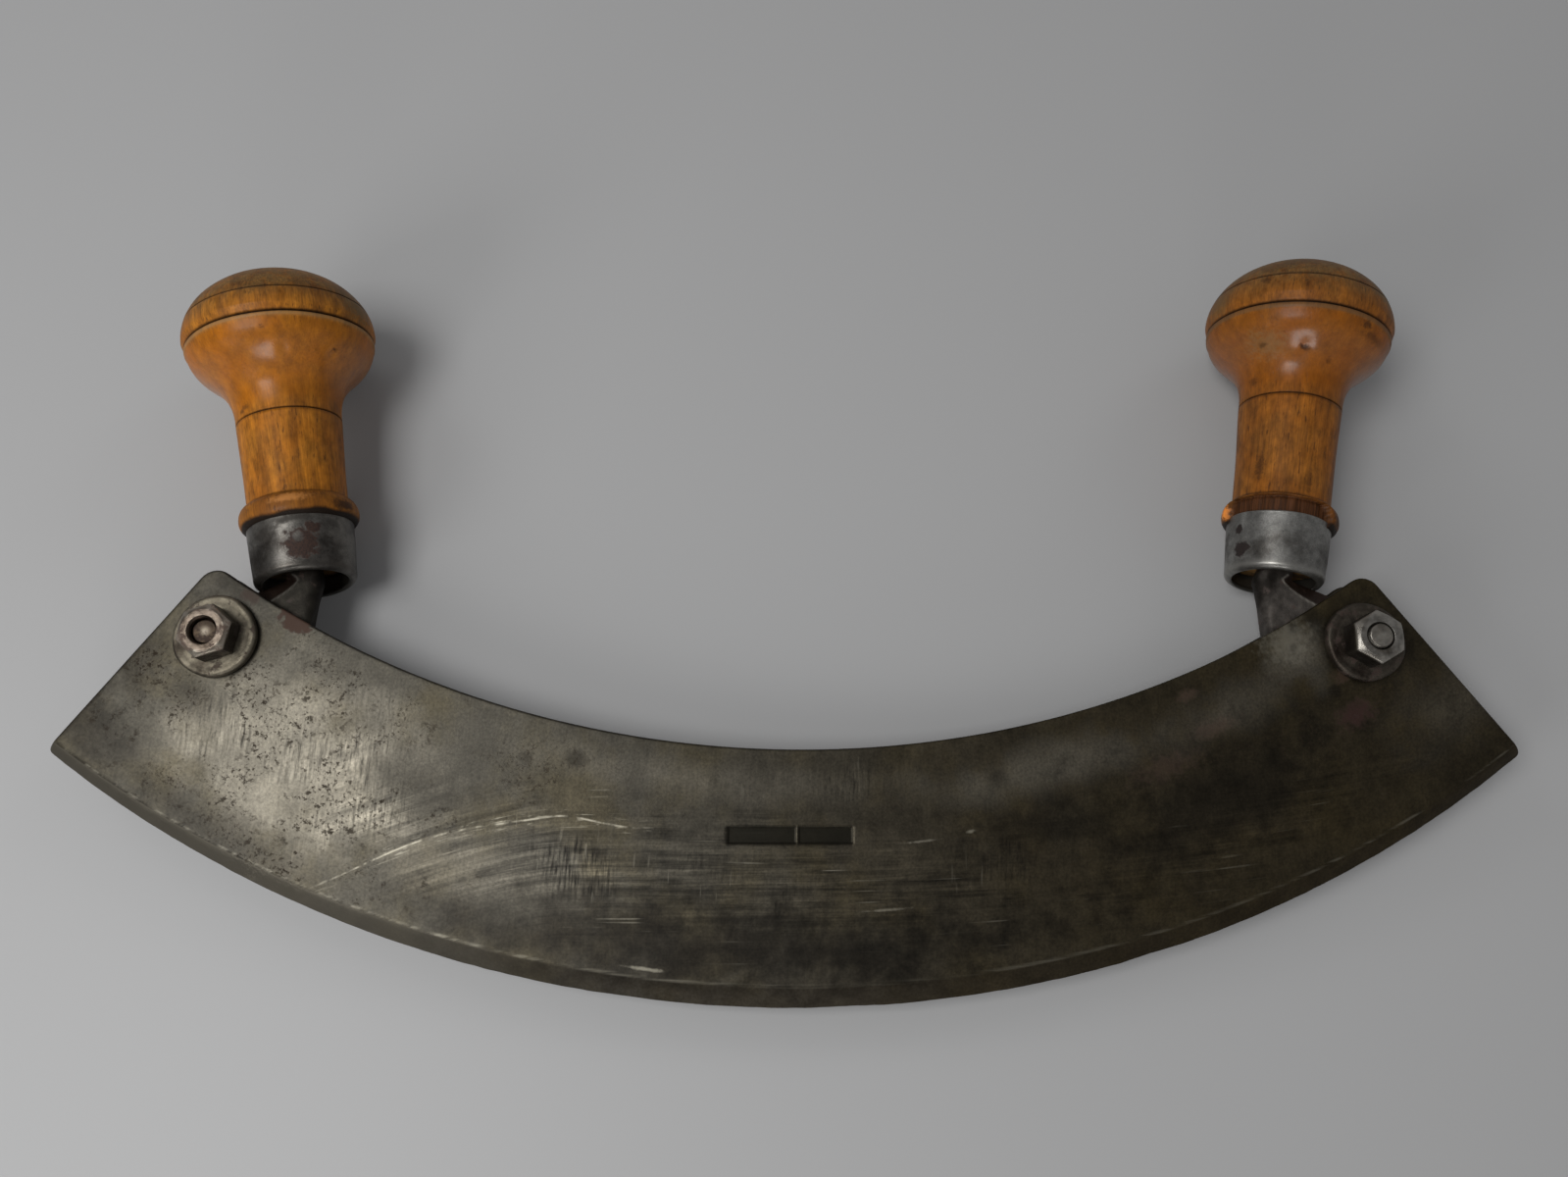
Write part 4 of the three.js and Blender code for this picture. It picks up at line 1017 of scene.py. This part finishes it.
def patinaSteel(name):  # dark film, pale and dark areas with a painted sheen, scouring, hatching, pits, rust, the ground bevel, and painted glints and highlights
    mat, shader, place, wearAndShading = newMaterial(f"patinaSteel_{name}")
    look, rows = bladeLook, bladeSpots[name]
    sweep = attribute("sweep")
    along = xyz(sweep)["X"]
    upright = vector("SCALE", result(put("ShaderNodeTexCoord"), "Object"), Scale=1 / mm)
    patina = use(steelPatina, Place=place, Scale=1.0 if name == "front" else 0.9)
    hatch = use(fineScratches, Place=upright, Turn=0.04, Fineness=0.62)
    drawn = use(fineScratches, Place=sweep, Turn=np.pi / 2, Fineness=0.75)
    band = noise(sweep, 0.42, 4, 0.6, (0.05, 1, 1))  # scoured bands
    ragged, fineRagged = noise(place, 0.1, 4, 0.6), noise(place, 0.5, 4, 0.6)
    pale, dark, hatched, scoured, pitted = (marks(place, ragged, bladeMarks(rows[key]))
                                            for key in ("pale", "dark", "hatched", "scoured", "pitted"))
    rust, redRust = (marks(place, fineRagged, bladeMarks(rows[key])) for key in ("rust", "redRust"))
    scoured = without(scoured, dark * 0.6)
    pit = patina["Pit"] * pitted
    colour = blend(step(patina["Blotch"], 0.42, 0.66) * 0.6, look["mid"], look["film"])
    colour = blend(step(along, -70, 110) * 0.7, colour, look["umber"])
    # pale patches: lighter steel and partly painted sheen
    colour = blend(pale * 0.9, colour, look["pale"])
    colour = blend(dark * 0.84, colour, look["dark"])
    colour = shade(0.34, colour, patina["Mottle"])
    colour = shade(0.25, colour, patina["Blotch"])
    colour = shade(scoured * 0.75, colour, band, 0.34, 0.66)
    colour = shade(scoured * 0.45, colour, drawn["Line"])
    colour = shade(0.1 + hatched * hatch["Patch"] * 0.95, colour, hatch["Line"])
    colour = blend(step(hatch["Line"], 0.42, 0.33) * hatched * hatch["Patch"] * 0.75, colour, look["soot"])
    colour = shade(0.3, colour, patina["Speckle"])
    colour = blend(pit * 0.68, colour, look["brown"])
    # bright crests of the scratches are painted glints
    colour = blend(drawn["Crest"] * scoured * drawn["Patch"] * 0.4, colour, look["glint"])
    colour = blend(hatch["Crest"] * hatched * 0.12, colour, look["glint"])
    if name == "front":
        # painted highlights at the glint spots, and the long scratch in the same bright colour
        glints = marks(place, fineRagged, bladeMarks(rows["glint"]))
        colour = blend(most(longScratch(sweep), glints), colour, look["glint"])
    colour = blend(rust, colour, look["rust"])
    colour = blend(redRust, colour, look["redRust"])
    onBevel = step(wearAndShading["Y"], 1.06, 0.94)
    colour = blend(onBevel * 0.2, colour, look["brown"])
    # the left of the bevel is painted pale: a painted reflection
    colour = blend(onBevel * step(along, -40, -130) * 0.7, colour, look["pale"])
    # a painted highlight along the bevel's shoulder
    shoulder = step(wearAndShading["Y"], 0.95, 1.06) * step(wearAndShading["Y"], 1.25, 1.1)
    colour = blend(shoulder * step(band, 0.42, 0.66) * 0.2, colour, look["glint"])
    colour = blend(wearAndShading["X"] * 0.92, colour, look["stamp"])
    rough = 0.34 + patina["Mottle"] * 0.16 + most(rust, pit) * 0.3
    metal = 0.85 - most(rust, redRust) * 0.6
    relief = patina["Speckle"] * 0.35 + band * scoured * 0.6 + hatch["Line"] * hatched * 0.3 - pit * 0.6
    feed(shader, Base_Color=colour, Roughness=rough, Metallic=metal, Normal=bumped(relief, 0.25, 0.0002))
    return mat


# the left tang's darker colour is painted shade
tangLook = colours({"dark": (34, 30, 26), "left": (48, 45, 39), "right": (84, 79, 74),
                    "bright": (176, 170, 160), "rust": (52, 36, 28)})
tangRubAndSheen = {"left": 0.25, "right": 0.8}  # how bright the rim of the hollow is painted: rubbed steel and a painted highlight


def forgedSteel(name):  # dark scale, file marks and rust, bright where the hollow's rim is rubbed and a highlight is painted, and the left tang in painted shade
    mat, shader, place, wearAndShading = newMaterial(f"forgedSteel_{name}")
    look = tangLook
    patina = use(steelPatina, Place=place, Scale=2.4)
    rust = use(rustPatches, Place=place, Scale=0.25, Amount=0.4)
    filed = use(fineScratches, Place=place, Turn=0.9, Fineness=0.9)
    # the left tang is darker than the right: painted shade
    colour = blend(step(patina["Blotch"], 0.35, 0.65), look["dark"], look[name])
    colour = shade(0.5, colour, patina["Mottle"])
    colour = shade(filed["Patch"] * 0.5, colour, filed["Line"])
    colour = blend(rust["Mask"] * 0.7, colour, look["rust"])
    colour = blend(wearAndShading["Y"] * 0.75, colour, look["rust"])
    # rubbed steel and a painted highlight along the hollow's rim
    colour = blend(wearAndShading["X"] * step(patina["Mottle"], 0.25, 0.5) * tangRubAndSheen[name], colour, look["bright"])
    rough = 0.5 + rust["Fine"] * 0.2
    metal = 0.8 - rust["Mask"] * 0.6
    relief = patina["Speckle"] + patina["Mottle"] * 0.8
    feed(shader, Base_Color=colour, Roughness=rough, Metallic=metal, Normal=bumped(relief, 0.35, 0.0003))
    return mat


ferruleLook = colours({
    "both": {"stain": (46, 42, 38), "inside": (112, 110, 104)},
    "left": {"dark": (46, 42, 38), "mid": (104, 101, 96), "rust": (56, 36, 26), "rustDark": (38, 24, 18),
             "lip": (70, 66, 61)},
    "right": {"dark": (80, 77, 73), "mid": (134, 133, 129), "rust": (34, 23, 19), "rustDark": (24, 17, 15),
              "lip": (150, 148, 142)},
})
ferruleMarks = {  # angle, height, radius, width, height of the mark, softness, strength
    "left": {
        "rust": [(15, 8.0, 13, 4.9, 4.6, 0.25, 1.0), (29, 12.3, 13.2, 2.4, 1.8, 0.3, 1.0)],
        "hole": [(11.5, 9.8, 13.1, 2.0, 1.9, 0.7, 0.85)],
        "dark": [(-30, 12.4, 13.2, 7, 3.2, 0.9, 0.9), (-58, 6, 12.8, 8, 8, 0.9, 1.0),
                 (48, 13.4, 13.2, 5, 2.6, 0.9, 0.7), (12, 14.8, 13.3, 12, 1.8, 0.9, 0.8)],
    },
    "right": {
        "rust": [(-69, 12.5, 13.2, 1.5, 1.9, 0.4, 1.0), (-63, 6.9, 12.9, 3.2, 2.9, 0.4, 1.0)],
        "hole": [(-58, 9.6, 12.9, 0.8, 0.6, 0.6, 1.0)],
        "dark": [(-96, 9, 13, 4, 6, 0.9, 0.8), (62, 9, 13, 6, 8, 0.9, 0.7)],
    },
}


def ferruleSteel(name):  # grey steel with rust patches, stains, painted shade and painted light inside, and a lip painted as shade on the left and as a highlight on the right
    mat, shader, place, wearAndShading = newMaterial(f"ferruleSteel_{name}")
    look = {**ferruleLook["both"], **ferruleLook[name]}
    patina = use(steelPatina, Place=place, Scale=2.2)
    ragged = noise(place, 0.5, 4, 0.6)
    rust, hole, dark = (marks(place, ragged, turnedMarks(ferruleMarks[name][key]))
                        for key in ("rust", "hole", "dark"))
    rust = without(rust, hole)
    stray = use(rustPatches, Place=place, Scale=0.3, Amount=0.22)
    colour = blend(step(patina["Blotch"], 0.3, 0.6), look["dark"], look["mid"])
    colour = shade(0.36, colour, patina["Mottle"])
    colour = shade(0.3, colour, patina["Speckle"])
    # the lip and top rim: painted shade on the left ferrule, painted highlight on the right
    colour = blend(wearAndShading["X"] * 0.6, colour, look["lip"])
    # darker patches: stains, and painted shade in the ring just under the left collar
    colour = blend(dark * 0.7, colour, look["stain"])
    rusty = blend(step(stray["Fine"], 0.35, 0.65), look["rustDark"], look["rust"])
    colour = blend(most(rust, stray["Mask"] * 0.5), colour, rusty)
    # the inner wall is painted lighter: painted light in the mouth
    colour = blend(wearAndShading["Y"], colour, look["inside"])
    rough = 0.3 + patina["Speckle"] * 0.14 + most(rust, dark) * 0.36
    metal = 0.9 - rust * 0.75
    relief = patina["Speckle"] + rust * 0.7
    feed(shader, Base_Color=colour, Roughness=rough, Metallic=metal, Normal=bumped(relief, 0.2, 0.0002))
    return mat


# painted shade on the nuts' side faces
fastenerSideShade = srgb(30, 25, 20)
fastenerLook = {  # base, dark, bright and rust colours, then shares of rubbing, roughness and rust
    "leftNut": ((122, 110, 98), (66, 56, 46), (206, 198, 182), (70, 50, 40), 0.4, 0.34, 0.55),
    "rightNut": ((140, 137, 131), (84, 78, 70), (206, 200, 188), (64, 46, 36), 0.3, 0.32, 0.22),
    "leftBolt": ((70, 58, 46), (40, 33, 27), (160, 150, 134), (60, 42, 32), 0.7, 0.4, 0.55),
    "rightBolt": ((132, 128, 120), (70, 64, 56), (190, 184, 174), (70, 50, 38), 0.3, 0.34, 0.3),
    # the left washer is painted lighter where the nut's shadow falls on it: painted light
    "leftWasher": ((120, 113, 98), (58, 51, 43), (130, 124, 112), (54, 38, 30), 0.06, 0.5, 0.45),
    "rightWasher": ((74, 68, 60), (44, 36, 30), (132, 126, 116), (50, 34, 28), 0.06, 0.5, 0.5),
}


def fastenerSteel(name):  # dull steel, rubbed bright at its edges, with rust, and painted shade on a nut's side faces
    mat, shader, place, wearAndShading = newMaterial(f"fastenerSteel_{name}")
    *tints, rub, roughness, amount = fastenerLook[name]
    base, dark, bright, rustTint = (srgb(*tint) for tint in tints)
    patina = use(steelPatina, Place=place, Scale=3.2)
    rust = use(rustPatches, Place=place, Scale=0.35, Amount=amount)
    colour = blend(step(patina["Blotch"], 0.32, 0.6), dark, base)
    colour = shade(0.4, colour, patina["Mottle"])
    colour = blend(wearAndShading["X"] * rub, colour, bright)
    colour = blend(wearAndShading["Y"] * 0.6, colour, dark)
    colour = blend(rust["Mask"] * 0.75, colour, rustTint)
    # painted shade on the side faces of a nut
    colour = blend(wearAndShading["Z"] * 0.85, colour, fastenerSideShade)
    rough = roughness + rust["Mask"] * 0.3
    metal = 0.88 - rust["Mask"] * 0.6
    relief = patina["Speckle"] + rust["Mask"] * 0.5
    feed(shader, Base_Color=colour, Roughness=rough, Metallic=metal, Normal=bumped(relief, 0.3, 0.0002))
    return mat


frontBlade.data.materials.append(patinaSteel("front"))
rearBlade.data.materials.append(patinaSteel("rear"))
for name in sides:
    handles[name].data.materials.append(varnishedWood(name))
    ferrules[name].data.materials.append(ferruleSteel(name))
    tangs[name].data.materials.append(forgedSteel(name))
    nuts[name].data.materials.append(fastenerSteel(f"{name}Nut"))
    bolts[name].data.materials.append(fastenerSteel(f"{name}Bolt"))
    washerMat = fastenerSteel(f"{name}Washer")
    for face in (1, -1):
        washers[name, face].data.materials.append(washerMat)
print("materials set")

# pale table, soft light and the camera that looks down on the tool
stageLook = {
    "floorSize": 3.0, "floorDrop": 0.0002, "floorColour": srgb(162, 162, 162), "floorRoughness": 0.52,
    "floorGloss": 0.35, "sky": (0.24, 0.24, 0.245, 1.0),
    "lamps": {  # place, size in metres, watts, and whether glossy surfaces mirror it
        "leftLamp": ((-0.52, -0.2, 1.08), (0.5, 0.6), 7.8, True),
        "highLeftLamp": ((-1.0, 0.9, 0.9), (0.5, 0.5), 1.6, False),
        "highRightLamp": ((1.0, 0.9, 0.9), (0.5, 0.5), 1.5, False),
        "lowLeftLamp": ((-0.5, -0.44, 0.34), (0.3, 0.3), 1.7, False),
        "windowLamp": ((-0.12, -1.1, 0.28), (0.4, 0.3), 1.8, True),
    },
    "camera": {"place": (-16.051, 27.882, 327.334),  # tool mm
               "right": (0.99931, -0.00203, 0.03706), "ahead": (0.03653, 0.22998, -0.97251),
               "focal": 1300.0, "width": 1599.0, "sensor": 36.0, "nearest": 0.01},  # pixels, mm and metres
}


def makeFloor():  # flat square of 2 by 2 quads under the tool
    line = np.linspace(-0.5, 0.5, 3) * stageLook["floorSize"]
    x, y = np.meshgrid(line, line)
    points = np.stack([x, y, 0 * x - stageLook["floorDrop"]], -1).reshape(-1, 3)
    mesh = bpy.data.meshes.new("table")
    mesh.from_pydata(points.tolist(), [], quadsOf(np.arange(9).reshape(3, 3)))
    mat = bpy.data.materials.new("paleTable")
    mat.use_nodes = True
    feed(mat.node_tree.nodes["Principled BSDF"], Base_Color=stageLook["floorColour"],
         Roughness=stageLook["floorRoughness"], Specular_IOR_Level=stageLook["floorGloss"])
    mesh.materials.append(mat)
    floor = addObject("table", mesh)


def standAt(held, place, right, up, back):  # a lamp or camera: its axes are columns of the matrix
    turn = np.column_stack([right, up, back])
    held.matrix_world = Matrix.Translation(place) @ Matrix(turn.tolist()).to_4x4()


def makeLamp(name, place, size, power, mirrored):  # soft panel that faces the frame's origin
    lamp = bpy.data.lights.new(name, "AREA")
    lamp.shape, lamp.size, lamp.size_y, lamp.energy = "RECTANGLE", size[0], size[1], power
    held = addObject(name, lamp)
    held.visible_glossy = mirrored
    back = np.array(place) / np.linalg.norm(place)
    right = np.cross([0.0, 1.0, 0.0], back)
    right = right / np.linalg.norm(right)
    standAt(held, place, right, np.cross(back, right), back)


def makeWorld():
    world = bpy.data.worlds.new("softRoom")
    bpy.context.scene.world = world
    world.use_nodes = True
    feed(world.node_tree.nodes["Background"], Color=stageLook["sky"], Strength=1.0)


def makeCamera():  # looks along "ahead" with its right side along "right", both in the tool's own frame
    spot = stageLook["camera"]
    right, ahead = (np.array(spot[key]) @ toolAxes for key in ("right", "ahead"))
    back = -ahead / np.linalg.norm(ahead)
    up = np.cross(back, right)
    up = up / np.linalg.norm(up)
    lens = bpy.data.cameras.new("photoCamera")
    lens.sensor_width, lens.lens = spot["sensor"], spot["focal"] / spot["width"] * spot["sensor"]
    lens.clip_start = spot["nearest"]
    held = addObject("photoCamera", lens)
    standAt(held, toFrame(np.array(spot["place"])).tolist(), np.cross(up, back), up, back)
    bpy.context.scene.camera = held


makeFloor()
for lampName, settings in stageLook["lamps"].items():
    makeLamp(lampName, *settings)
makeWorld()
makeCamera()
bpy.context.scene.view_settings.view_transform = "Standard"
print("stage set")
